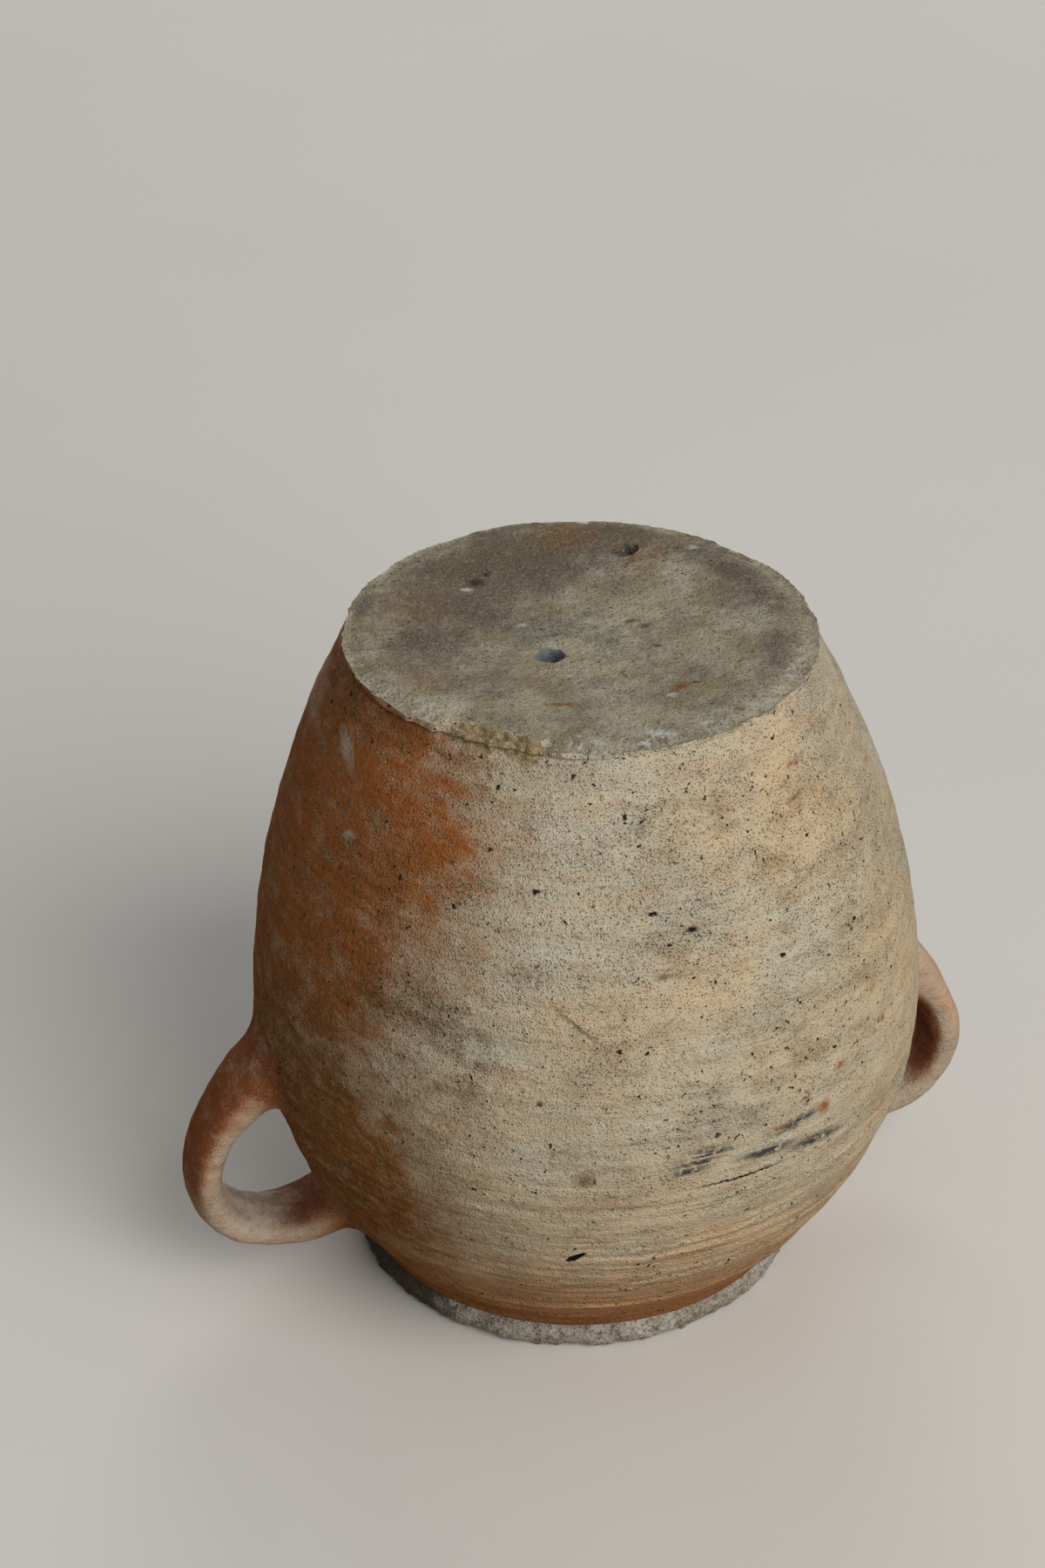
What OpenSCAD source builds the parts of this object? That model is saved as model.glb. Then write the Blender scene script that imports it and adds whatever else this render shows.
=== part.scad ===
// Earthenware confit pot with two ear handles, standing inverted on its rim.
// Millimetres and degrees. Z points up, the rim's lip stands on z = 0, the base faces up,
// and the handles lie along X. Words such as height and above are used as the pot stands here.

/* [Thrown wall] */
// Height from the lip of the rim to the standing ring of the base
pot_h = 260; // [220:1:320]
// Diameter at the widest part of the belly
belly_d = 248; // [225:1:285]
// Height of the widest part of the belly
belly_z = 112; // [95:1:135]
// Diameter where the wall meets the rolled rim
neck_d = 166; // [150:1:178]
// Curve of the wall from belly to neck, where 2 is a parabola
shoulder_power = 2.05; // [1.7:0.05:2.4]
// Curve of the wall from belly to base, where 2 is a parabola
foot_power = 1.87; // [1.6:0.05:2.3]
// Thickness of the thrown wall, square to its face
wall_t = 8; // [6:0.5:10]
// Radius of the soft corner inside, between wall and floor
heel_r = 8; // [4:0.5:9]

/* [Base] */
// Diameter of the base over its lip
base_d = 170; // [160:1:190]
// Thickness of the floor at its edge
base_t = 13; // [10:0.5:16]
// Height of the lip left where the pot was wired off the wheel
lip_h = 4; // [3:0.5:7]
// Height over which the lip eases out of the wall below it
lip_ease = 1; // [0.5:0.25:2]
// How far the lip overhangs the wall below it
lip_out = 0.8; // [0.4:0.2:2.4]
// Width of the worn bevel round the standing ring
arris = 1.2; // [0.6:0.2:2]
// Width of the flat ring that the pot stands on when it is upright
standing_ring = 12; // [8:1:20]
// Depth of the shallow dish in the middle of the base
dish_depth = 4; // [2:0.5:6]

/* [Drain holes] */
// Diameter of the drill
drain_d = 10; // [6:0.5:14]
// Distance of the inner hole from the axis
inner_drain_r = 17; // [14:1:30]
// Direction of the inner hole, counted from +X
inner_drain_angle = 211; // [0:1:359]
// Distance of the outer hole from the axis
outer_drain_r = 64; // [50:1:64]
// Direction of the outer hole, counted from +X
outer_drain_angle = 57; // [0:1:359]
// Width of glaze that the drill spalled away round each hole
glaze_spall = 1.5; // [0.5:0.25:2.5]

/* [Rim] */
// How far the rolled rim stands out beyond the neck
roll_out = 1.5; // [0.5:0.25:3]
// Height of the rim, up to the neck
rim_h = 14; // [12:0.5:18]
// Width of the rim, from its outside to the mouth
rim_w = 14; // [12.5:0.5:16]
// Radius of the roll on the outside of the rim
roll_r = 6; // [4.5:0.5:6.5]
// Radius on the inside of the lip
lip_inner_r = 4; // [3:0.5:5]
// Depth of the crease between the roll and the neck
crease = 0.8; // [0.4:0.1:1.6]

/* [Glaze] */
// Thickness of the glaze inside the pot and over the rim
glaze_t = 0.8; // [0.5:0.1:1.2]

/* [Handles] */
// Height where the strap's lower end is luted on
handle_neck_z = 34; // [30:1:40]
// Height where the strap's upper end is luted on
handle_belly_z = 104; // [95:1:115]
// How far the lower end is pulled outwards
neck_pull_out = 63; // [52:1:70]
// How far the lower end is pulled down
neck_pull_down = 31; // [22:1:36]
// How much less the lower end is pulled down on the right, since no two pulled straps are alike
right_lift = 10; // [0:1:14]
// How far the upper end is pulled outwards
belly_pull_out = 61; // [52:1:70]
// How far the upper end is pulled down
belly_pull_down = 36; // [28:1:44]
// How deep each end of the strap starts below the wall's face, before it is trimmed there
strap_bed = 10.4; // [8:0.2:13]
// Width of the strap
strap_w = 25; // [20:1:30]
// Thickness of the strap
strap_t = 12.5; // [10:0.5:15]
// Squareness of the strap's section, where 2 is an ellipse
strap_square = 2.7; // [2:0.1:3.5]
// Length of each end of the strap that its wad takes up, counted from below the wall's face
wad_l = 27; // [22:0.5:32]
// Width of the neck wad where it is smeared on the wall
neck_wad_w = 33; // [26:1:40]
// Thickness of the neck wad there
neck_wad_t = 19; // [13:0.5:22]
// Width of the belly wad where it is smeared on the wall
belly_wad_w = 35; // [26:1:42]
// Thickness of the belly wad there
belly_wad_t = 25; // [13:0.5:28]

/* [Hidden] */

$fn = 144;
wall_steps = 18;   // straight pieces in each half of the wall's curve
arc_steps = 8;     // straight pieces in a small arc
path_steps = 48;   // rings along a whole handle
ring_sides = 28;   // corners of one ring of the strap
past = 1;          // how far a cutter runs past the face that it cuts
heel_rise = 0.6;   // share of the heel's radius below the floor at which the wall's slope is read

buff = "#b8ab90";
grey_buff = "#8d8670";
worn_glaze = "#a9a6a2";
honey_glaze = "#8a5a22";
flashed_clay = "#a5805f";

belly_r = belly_d / 2;
neck_r = neck_d / 2;
base_r = base_d / 2;
rim_r = neck_r + roll_out;
mouth_r = rim_r - rim_w;
floor_z = pot_h - base_t;
foot_z = pot_h - lip_h;
foot_r = base_r - lip_out;
ring_r = base_r - arris;
dish_r = ring_r - standing_ring;

// The wall's outer face: one power curve from the belly to the neck, and one to the foot

function outer_r(z) =
    z < belly_z
    ? belly_r - (belly_r - neck_r) * pow((belly_z - z) / (belly_z - rim_h), shoulder_power)
    : belly_r - (belly_r - foot_r) * pow((z - belly_z) / (foot_z - belly_z), foot_power);

function slope(z) =
    z < belly_z
    ? (belly_r - neck_r) * shoulder_power / (belly_z - rim_h)
      * pow((belly_z - z) / (belly_z - rim_h), shoulder_power - 1)
    : -(belly_r - foot_r) * foot_power / (foot_z - belly_z)
      * pow((z - belly_z) / (foot_z - belly_z), foot_power - 1);

// Length of the slant for a unit of height, which turns a thickness into a level width
function slant(z) = sqrt(1 + pow(slope(z), 2));

function inner_r(z, depth) = outer_r(z) - depth * slant(z);

function arc(centre, radius, from, to) =
    [for (i = [0:arc_steps])
        let (a = from + (to - from) * i / arc_steps)
        centre + radius * [cos(a), sin(a)]];

function reversed(list) = [for (i = [len(list) - 1:-1:0]) list[i]];

function outer_face(low, high) =
    [for (i = [0:2 * wall_steps])
        let (z = low + (high - low) * i / (2 * wall_steps))
        [outer_r(z), z]];

// The inside of the clay, or a skin that lies inset from it: up the wall and round the heel
heel_slope_z = floor_z - heel_rise * heel_r;
heel_normal = [1, -slope(heel_slope_z)] / slant(heel_slope_z);
heel_z = floor_z - heel_r * (1 - heel_normal[1]);
heel_centre = [inner_r(heel_z, wall_t), heel_z] - heel_r * heel_normal;
heel_angle = atan2(heel_normal[1], heel_normal[0]);

function inside_face(inset) = concat(
    [for (i = [0:2 * wall_steps - 1])
        let (z = rim_h + (heel_z - rim_h) * i / (2 * wall_steps))
        [inner_r(z, wall_t + inset), z]],
    arc(heel_centre, heel_r - inset, heel_angle, 90));

// The rim's surface, or a face that lies inset from it: down the inside, round the lip, up the roll
roll_centre = [rim_r - roll_r, roll_r];
crease_angle = acos((neck_r - crease - roll_centre[0]) / roll_r);

function rim_face(inset) = concat(
    [[inner_r(rim_h, wall_t + glaze_t - inset), rim_h]],
    arc([mouth_r + lip_inner_r, lip_inner_r], lip_inner_r - inset, 180, 270),
    arc(roll_centre, roll_r - inset, -90, crease_angle));

module solid_wall() {
    rotate_extrude()
        polygon(concat([[0, rim_h]], outer_face(rim_h, floor_z), [[0, floor_z]]));
}

module at_drain_holes() {
    rotate(inner_drain_angle) translate([inner_drain_r, 0, 0]) children();
    rotate(outer_drain_angle) translate([outer_drain_r, 0, 0]) children();
}

// Thick floor with its overhanging lip, dished face and two drilled drain holes
module base_disc() {
    dish_sphere_r = (pow(dish_r, 2) + pow(dish_depth, 2)) / (2 * dish_depth);
    profile = concat(
        [[0, floor_z]],
        outer_face(floor_z, foot_z),
        [[base_r, foot_z + lip_ease], [base_r, pot_h - arris], [ring_r, pot_h], [0, pot_h]]);
    color(grey_buff)
    difference() {
        rotate_extrude() polygon(profile);
        translate([0, 0, pot_h - dish_depth + dish_sphere_r]) sphere(r = dish_sphere_r);
        at_drain_holes()
            translate([0, 0, floor_z - past]) cylinder(d = drain_d, h = base_t + 2 * past);
    }
}

// Thrown shell from the neck, round the belly, to the heel of the floor
module belly_wall() {
    color(buff)
    rotate_extrude()
        polygon(concat(outer_face(rim_h, floor_z), reversed(inside_face(0))));
}

// Rolled rim below the neck, cut back under its glaze
module neck_rim() {
    glaze_line = roll_centre + roll_r * [cos(crease_angle), sin(crease_angle)];
    color(flashed_clay)
    rotate_extrude()
        polygon(concat(rim_face(glaze_t), [glaze_line, [neck_r, rim_h]]));
}

// Glaze poured inside, over wall and floor, drilled through with the floor
module inner_glaze() {
    color(honey_glaze)
    difference() {
        rotate_extrude()
            polygon(concat(inside_face(0), [[0, floor_z], [0, floor_z - glaze_t]],
                           reversed(inside_face(glaze_t))));
        at_drain_holes()
            translate([0, 0, floor_z - glaze_t - past])
                cylinder(d = drain_d + 2 * glaze_spall, h = glaze_t + 2 * past);
    }
}

// Weathered glaze that caps the lip and the roll
module rim_glaze() {
    color(worn_glaze)
    rotate_extrude()
        polygon(concat(rim_face(0), reversed(rim_face(glaze_t))));
}

// Each strap's line, a curve in the XZ plane that is pulled out of the wall at both ends
neck_root = [outer_r(handle_neck_z) - strap_bed, handle_neck_z];
belly_root = [outer_r(handle_belly_z) - strap_bed, handle_belly_z];

function strap_line(lift) = [
    neck_root,
    neck_root + [neck_pull_out, lift - neck_pull_down],
    belly_root + [belly_pull_out, -belly_pull_down],
    belly_root];

left_line = strap_line(0);
right_line = strap_line(right_lift);

function strap_point(line, t) =
    pow(1 - t, 3) * line[0] + 3 * pow(1 - t, 2) * t * line[1]
    + 3 * (1 - t) * t * t * line[2] + pow(t, 3) * line[3];

function strap_direction(line, t) =
    let (d = pow(1 - t, 2) * (line[1] - line[0])
             + 2 * (1 - t) * t * (line[2] - line[1])
             + t * t * (line[3] - line[2]))
    d / norm(d);

// Share of the strap's line in each wad, from the curve's own speed at its ends
function neck_share(line) = wad_l / (3 * norm(line[1] - line[0]));
function belly_share(line) = wad_l / (3 * norm(line[3] - line[2]));

// Width and thickness of the section, which grow towards each end
function strap_size(line, t) =
    let (near_neck = pow(max(0, 1 - t / (2 * neck_share(line))), 2),
         near_belly = pow(max(0, 1 - (1 - t) / (2 * belly_share(line))), 2),
         strap = [strap_w, strap_t])
    strap + near_neck * ([neck_wad_w, neck_wad_t] - strap)
          + near_belly * ([belly_wad_w, belly_wad_t] - strap);

function rounded(x) = sign(x) * pow(abs(x), 2 / strap_square);

function strap_ring(line, t) =
    let (p = strap_point(line, t), d = strap_direction(line, t), s = strap_size(line, t) / 2)
    [for (i = [0:ring_sides - 1])
        let (a = 360 * i / ring_sides,
             across = s[0] * rounded(cos(a)),
             through = s[1] * rounded(sin(a)))
        [p[0] - d[1] * through, across, p[1] + d[0] * through]];

// One unbroken length of the strap, closed with a fan at each end
module strap_length(line, from, to) {
    steps = round((to - from) * path_steps);
    last = steps * ring_sides;
    points = [for (j = [0:steps]) each strap_ring(line, from + (to - from) * j / steps)];
    centres = [strap_point(line, from), strap_point(line, to)];
    caps = [for (c = centres) [c[0], 0, c[1]]];
    start_cap = len(points);
    faces = concat(
        [for (j = [0:steps - 1], i = [0:ring_sides - 1])
            let (a = j * ring_sides, k = (i + 1) % ring_sides)
            each [[a + i, a + k, a + ring_sides + i],
                  [a + k, a + ring_sides + k, a + ring_sides + i]]],
        [for (i = [0:ring_sides - 1]) [start_cap, (i + 1) % ring_sides, i]],
        [for (i = [0:ring_sides - 1]) [start_cap + 1, last + i, last + (i + 1) % ring_sides]]);
    polyhedron(concat(points, caps), faces);
}

// Pulled strap, between its two wads
module handle(line) {
    color(flashed_clay) strap_length(line, neck_share(line), 1 - belly_share(line));
}

// Lump of soft clay that lutes an end of the strap to the wall
module wad(line, from, to) {
    color(flashed_clay)
    difference() {
        strap_length(line, from, to);
        solid_wall();
    }
}

module neck_wad(line) { wad(line, 0, neck_share(line)); }
module belly_wad(line) { wad(line, 1 - belly_share(line), 1); }
module on_left() { rotate(180) children(); }

base_disc();
belly_wall();
neck_rim();
inner_glaze();
rim_glaze();
on_left() handle(left_line);  // left_handle
on_left() neck_wad(left_line);  // left_neck_wad
on_left() belly_wad(left_line);  // left_belly_wad
handle(right_line);  // right_handle
neck_wad(right_line);  // right_neck_wad
belly_wad(right_line);  // right_belly_wad
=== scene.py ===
# %% [markdown]
# A confit pot of fired clay, stored upside down on its rim. A potter threw it on a wheel, wired it off,
# pulled two straps for ear-shaped handles and luted them on with soft clay. Years of use did the rest.
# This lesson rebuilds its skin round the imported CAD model, which is loaded first and never changed.
# The pot's sizes are written in millimetres, because that is how a maker measures a pot. The camera, the
# lamps and the floor around it are given in metres.

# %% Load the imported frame
import math
from types import SimpleNamespace

import bpy
from mathutils import Matrix, Vector, noise


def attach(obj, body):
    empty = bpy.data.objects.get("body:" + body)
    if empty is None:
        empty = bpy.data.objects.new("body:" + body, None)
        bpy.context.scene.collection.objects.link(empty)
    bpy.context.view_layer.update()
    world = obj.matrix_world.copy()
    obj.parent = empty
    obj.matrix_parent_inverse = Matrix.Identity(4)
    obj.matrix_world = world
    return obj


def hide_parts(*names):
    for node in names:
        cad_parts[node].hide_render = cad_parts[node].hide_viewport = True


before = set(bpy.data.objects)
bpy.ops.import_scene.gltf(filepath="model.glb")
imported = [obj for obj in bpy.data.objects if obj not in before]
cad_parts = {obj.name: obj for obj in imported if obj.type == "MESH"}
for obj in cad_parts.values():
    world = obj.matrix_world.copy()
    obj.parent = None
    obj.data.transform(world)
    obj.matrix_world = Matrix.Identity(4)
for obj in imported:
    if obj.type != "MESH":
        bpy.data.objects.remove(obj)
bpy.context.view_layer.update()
MM = 0.001
print("CAD nodes:", sorted(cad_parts))

# %% [markdown]
# The photograph looks down on the pot from about 32 degrees, and 18 degrees to the left of square to the line
# of its handles. A long lens keeps the sides of the pot nearly upright, as in the picture. The camera's place
# was fitted to the outline of the pot, so here it is only set down and pointed.

# %% Camera
CAMERA_SPOT = Vector((-0.3730, -1.0834, 0.8985))
CAMERA_AIM = Vector((-0.0227, 0.0, 0.1996))
LENS_MM, FILM_MM = 85, 36

bpy.ops.object.select_all(action="DESELECT")
bpy.ops.object.camera_add(
    location=CAMERA_SPOT,
    rotation=(CAMERA_AIM - CAMERA_SPOT).to_track_quat("-Z", "Y").to_euler())
camera = bpy.context.object
camera.data.lens = LENS_MM
camera.data.sensor_fit = "VERTICAL"
camera.data.sensor_height = FILM_MM
bpy.context.scene.camera = camera
print("camera stands", round((CAMERA_AIM - CAMERA_SPOT).length, 3), "m from the pot")

# %% [markdown]
# Daylight comes from one large window to the right of the viewer, and the rest of the room only fills in.
# A wide area lamp on the right gives the same soft fall from the lit flank to the dark one. A weaker lamp
# stands right behind the pot. The camera sees little of it, but it lights the back for other views.
# The level is plain: a surface that faces the window renders about as its colour is written.

# %% Light
LAMP_DISTANCE, LAMP_TINT = 5, (1.0, 0.985, 0.96)
ROOM_TINT, ROOM_LEVEL = (0.93, 0.96, 1.0, 1.0), 0.19
POT_MIDDLE = Vector((0, 0, 0.14))

scene = bpy.context.scene
scene.view_settings.view_transform = "Standard"


def round_axis(radius, angle, z=0):
    """A point at a radius and a height, at an angle in degrees from +X round the pot's axis."""
    a = math.radians(angle)
    return Vector((radius * math.cos(a), radius * math.sin(a), z))


def soft_lamp(name, angle, height, size, energy):
    """A round lamp that faces the pot from an angle round it and a height, both in degrees."""
    h = math.radians(height)
    way = round_axis(math.cos(h), angle, math.sin(h))
    bpy.ops.object.light_add(
        type="AREA",
        location=POT_MIDDLE + LAMP_DISTANCE * way,
        rotation=way.to_track_quat("Z", "Y").to_euler())
    lamp = bpy.context.object
    lamp.name = name
    lamp.data.shape = "DISK"
    lamp.data.size = size
    lamp.data.energy = energy
    lamp.data.color = LAMP_TINT
    print(name, "gives", energy, "W from", LAMP_DISTANCE, "m")


soft_lamp("window", -70, 34, 4.6, 200)
soft_lamp("far_wall", 71, 20, 2.8, 60)

room = bpy.data.worlds.new("room")
scene.world = room
room.use_nodes = True
sky = room.node_tree.nodes["Background"]
sky.inputs["Color"].default_value = ROOM_TINT
sky.inputs["Strength"].default_value = ROOM_LEVEL

# %% [markdown]
# The thrown parts are all turned on one axis. By hand one would draw half of the section, a line of points
# from the axis outwards, and turn it once round. That is what this helper does: a plane is merged to a
# point, the point is extruded along the outline, and a Screw modifier without any rise turns the line. Spin
# gives the same mesh, but takes far longer with hundreds of steps. The turn leaves doubled points on the
# seam and the axis, so doubles are merged and the faces are turned outwards.

# %% Turning a section
TURN_STEPS = 432
SEAM_MM = 0.001


def turn(name, outline, steps=TURN_STEPS):
    """Turns an outline of (radius, height) points round the Z axis into a mesh object."""
    points = [Vector((radius * MM, 0, height * MM)) for radius, height in outline]
    bpy.ops.object.select_all(action="DESELECT")
    bpy.ops.mesh.primitive_plane_add(size=MM)
    piece = bpy.context.object
    piece.name = name
    bpy.ops.object.mode_set(mode="EDIT")
    bpy.ops.mesh.select_mode(type="VERT")
    bpy.ops.mesh.merge(type="CENTER")
    bpy.ops.transform.translate(value=points[0])
    for here, there in zip(points, points[1:]):
        bpy.ops.mesh.extrude_vertices_move(TRANSFORM_OT_translate={"value": there - here})
    bpy.ops.object.mode_set(mode="OBJECT")
    lathe = piece.modifiers.new("lathe", "SCREW")
    lathe.steps = steps
    lathe.render_steps = steps
    bpy.ops.object.modifier_apply(modifier=lathe.name)
    bpy.ops.object.mode_set(mode="EDIT")
    bpy.ops.mesh.select_all(action="SELECT")
    bpy.ops.mesh.remove_doubles(threshold=SEAM_MM * MM)
    bpy.ops.mesh.normals_make_consistent(inside=False)
    bpy.ops.object.mode_set(mode="OBJECT")
    print(name, "turned:", len(piece.data.polygons), "faces")
    return piece


def span(low, high, steps):
    """Evenly spaced numbers from low to high, both included."""
    return [low + (high - low) * i / steps for i in range(steps + 1)]


def arc(centre, radius, start, end, steps):
    """Points on an arc, with its angles in degrees."""
    return [
        (centre[0] + radius * math.cos(math.radians(a)), centre[1] + radius * math.sin(math.radians(a)))
        for a in span(start, end, steps)]


print("a section is turned in", TURN_STEPS, "steps of", round(360 / TURN_STEPS, 2), "degrees")

# %% [markdown]
# The wall's outer face follows two power curves that meet at the belly, the same curves as in the CAD
# model. Its inner face lies a wall's thickness further in, measured square to the outer one.

# %% Curve of the wall
POT_H, BELLY_Z, RIM_H = 260, 112, 14
BELLY_R, NECK_R, BASE_R = 124, 83, 85
SHOULDER_POWER, FOOT_POWER = 2.05, 1.87
WALL_T, GLAZE_T = 8, 0.8
FLOOR_Z, FOOT_Z = 247, 256
FOOT_R = 84.2


def wall_radius(z):
    """Outer radius of the thrown wall at a height."""
    if z < BELLY_Z:
        fall = (BELLY_Z - z) / (BELLY_Z - RIM_H)
        return BELLY_R - (BELLY_R - NECK_R) * fall ** SHOULDER_POWER
    fall = (z - BELLY_Z) / (FOOT_Z - BELLY_Z)
    return BELLY_R - (BELLY_R - FOOT_R) * fall ** FOOT_POWER


def wall_slope(z):
    """How fast that radius grows with height."""
    return wall_radius(z + 0.5) - wall_radius(z - 0.5)


def inner_radius(z, depth):
    """Radius of a face that lies a depth inside the outer one."""
    return wall_radius(z) - depth * math.hypot(1, wall_slope(z))


print("wall is", round(wall_radius(200), 1), "mm in radius at 200 mm")

# %% [markdown]
# A thrown wall is never a perfect solid of revolution. Fingers leave lines that run long round the pot and
# short up it, drying warps it slowly, and the wheel head leaves a lean. Handles swell the wall where they
# are pressed on. These are moves of single points, which no modelling operator gives, so each mesh that is
# turned gets its points moved by one shared function. Neighbouring pieces read the same function, so their
# edges stay together.

# %% Hand of the potter
LEAN_WAY = Vector((0.95, -0.31, 0))
LEAN_LOW, LEAN_BELLY, LEAN_SPAN = -1.4, 3.4, 270
HANDLE_NECK_Z, HANDLE_BELLY_Z = 34, 104
HANDLE_SWELL, HANDLE_SPREAD = 1.6, 34
WARP, LUMPS = 1.1, 0.35
SPIRAL_PITCH = 5.4
UNDERCUT_ANGLE, UNDERCUT_WIDE, UNDERCUT_DEEP = -146, 52, 2.0
DENTS = [
    # angle, height, radius, depth
    (-94, 187, 7, 0.9), (-140, 205, 9, 0.8), (-121, 232, 6, 0.6), (-66, 176, 10, 0.7),
    (-152, 150, 8, 0.7), (-72, 222, 7, 0.6), (-30, 180, 9, 0.8), (20, 150, 12, 0.9),
    (70, 205, 10, 1.0), (110, 90, 9, 0.7), (150, 170, 11, 0.9), (-40, 70, 8, 0.7)]


def smooth(low, high, x):
    """Rises softly from 0 at low to 1 at high."""
    t = min(max((x - low) / (high - low), 0.0), 1.0)
    return t * t * (3 - 2 * t)


def turn_between(a, b):
    """Smallest angle between two directions, in degrees."""
    return abs((a - b + 180) % 360 - 180)


def along_wall(a, b, z):
    """Distance between two directions along the wall at a height, in mm."""
    return math.radians(turn_between(a, b)) * wall_radius(z)


def ring_noise(angle, narrow, level, right=0, back=0):
    """Noise that closes on itself round the pot. The larger its second value, the narrower its lumps."""
    a = math.radians(angle)
    return noise.noise(Vector((narrow * math.cos(a) + right, narrow * math.sin(a) + back, level)))


def finger_lines(angle, z):
    """Lines that fingers left, in mm: a rising spiral, broken up, and loose bands, strongest at the neck."""
    near_neck = 1 - smooth(45, 130, z)
    wobble = ring_noise(angle, 1.2, z / 40)
    uneven = ring_noise(angle, 1.6, z / 9, back=11)
    spiral = math.sin(2 * math.pi * (z / SPIRAL_PITCH + angle / 360 + 0.9 * wobble))
    bands = ring_noise(angle, 0.9, z / 7, right=7)
    return spiral * (0.17 + 0.31 * near_neck) * (0.7 + 1.6 * uneven) + bands * (0.5 + 0.35 * near_neck)


def wall_relief(angle, z):
    """How far the real wall stands out from the plain curve, in mm, at an angle in degrees."""
    warp = ring_noise(angle, 1.5, z / 95, right=3)
    lumps = ring_noise(angle, 6.5, z / 17, back=5)
    relief = finger_lines(angle, z) + WARP * warp + LUMPS * lumps
    under_lip = smooth(238, 250, z) * (1 - smooth(0, UNDERCUT_WIDE, turn_between(angle, UNDERCUT_ANGLE)))
    relief -= UNDERCUT_DEEP * under_lip
    for dent_angle, dent_z, size, depth in DENTS:
        away = math.hypot(along_wall(angle, dent_angle, z), z - dent_z) / size
        relief -= depth * (1 - smooth(0.25, 1, away))
    for handle_angle in (0, 180):
        around = along_wall(angle, handle_angle, z)
        for root_z in (HANDLE_NECK_Z, HANDLE_BELLY_Z):
            away = math.hypot(around, 1.2 * (z - root_z)) / HANDLE_SPREAD
            relief += HANDLE_SWELL * (1 - smooth(0.3, 1, away))
    return relief


def lean(z):
    """Sideways shift of the pot at a height, in mm."""
    return LEAN_WAY * (LEAN_LOW + LEAN_BELLY * math.sin(math.pi * z / LEAN_SPAN))


def shape_points(piece, move):
    """Moves every point of a piece by a function that is given the point in mm."""
    for vertex in piece.data.vertices:
        vertex.co = move(vertex.co / MM) * MM
    piece.data.update()


def moved_out(point, amount):
    """A point moved away from the pot's axis."""
    level = Vector((point.x, point.y, 0))
    if level.length < SEAM_MM:
        return point.copy()
    return point + level.normalized() * amount


def direction(point):
    """Angle of a point round the axis, in degrees from +X."""
    return math.degrees(math.atan2(point.y, point.x))


print("lean at the belly:", round(lean(BELLY_Z).length, 2), "mm")

# %% [markdown]
# The wall is one shell from the neck up to the floor. Its outline goes up the outside in steps of about
# two millimetres, fine enough for the finger lines, and comes back down the inside in coarse ones.

# %% Belly wall
OUTER_STEPS, INNER_STEPS = 132, 24
HEEL_Z, HEEL_R = 238.8, 8
heel_slope = wall_slope(HEEL_Z)
heel_angle = math.degrees(math.atan2(-heel_slope, 1))
heel_centre = (
    inner_radius(HEEL_Z, WALL_T) - HEEL_R * math.cos(math.radians(heel_angle)),
    HEEL_Z - HEEL_R * math.sin(math.radians(heel_angle)))


def inside_outline(inset):
    """The inside of the clay, or a skin inset from it: up the wall and round the heel to the floor."""
    up = [(inner_radius(z, WALL_T + inset), z) for z in span(RIM_H, HEEL_Z, INNER_STEPS)]
    return up[:-1] + arc(heel_centre, HEEL_R - inset, heel_angle, 90, 8)


outside = [(wall_radius(z), z) for z in span(RIM_H, FLOOR_Z, OUTER_STEPS)]
inside = inside_outline(0)
wall = turn("thrown_wall", outside + inside[::-1] + outside[:1])


def throw_wall(point):
    """Gives the outside its relief and leans the shell."""
    on_outside = point.xy.length > wall_radius(point.z) - 1
    amount = wall_relief(direction(point), point.z) if on_outside else 0
    return moved_out(point, amount) + lean(point.z)


shape_points(wall, throw_wall)

# %% [markdown]
# One sharp gouge low on the front goes two millimetres deep. The wall's own faces are too coarse for it, so
# the faces round it are subdivided first and then pressed in.

# %% Gouge in the wall
GOUGE_ANGLE, GOUGE_Z, GOUGE_TILT = -109.8, 70.5, 36
GOUGE_L, GOUGE_W, GOUGE_DEEP = 10.5, 3.2, 2.0


def pick(piece):
    """Selects one piece alone and makes it the active one."""
    bpy.ops.object.select_all(action="DESELECT")
    bpy.context.view_layer.objects.active = piece
    piece.select_set(True)


def select_faces(piece, wanted):
    """Leaves the piece in edit mode with only the faces selected whose centre, in mm, is wanted."""
    pick(piece)
    bpy.ops.object.mode_set(mode="EDIT")
    bpy.ops.mesh.select_mode(type="FACE")
    bpy.ops.mesh.select_all(action="DESELECT")
    bpy.ops.object.mode_set(mode="OBJECT")
    for face in piece.data.polygons:
        face.select = wanted(face.center / MM)
    bpy.ops.object.mode_set(mode="EDIT")


def on_wall(angle, z):
    """A point on the plain wall."""
    return round_axis(wall_radius(z), angle, z)


gouge_centre = on_wall(GOUGE_ANGLE, GOUGE_Z) + lean(GOUGE_Z)
select_faces(wall, lambda centre: (centre - gouge_centre).length < GOUGE_L)
bpy.ops.mesh.subdivide(number_cuts=3)
bpy.ops.object.mode_set(mode="OBJECT")


def surface_axes(angle, z, tilt):
    """Along, across and outward directions of a mark on the wall that is tilted up to the right."""
    a, t = math.radians(angle), math.radians(tilt)
    outward = Vector((math.cos(a), math.sin(a), -wall_slope(z))).normalized()
    right = Vector((-math.sin(a), math.cos(a), 0))
    up = outward.cross(right)
    along = right * math.cos(t) + up * math.sin(t)
    return along, outward.cross(along), outward


gouge_along, gouge_across, gouge_out = surface_axes(GOUGE_ANGLE, GOUGE_Z, GOUGE_TILT)


def press_gouge(point):
    """Presses a lens-shaped pit into the wall."""
    away = point - gouge_centre
    reach = math.hypot(away.dot(gouge_along) / (GOUGE_L / 2), away.dot(gouge_across) / (GOUGE_W / 2))
    if abs(away.dot(gouge_out)) > WALL_T / 2:
        return point
    return point - gouge_out * GOUGE_DEEP * (1 - smooth(0.3, 1, reach))


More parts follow.
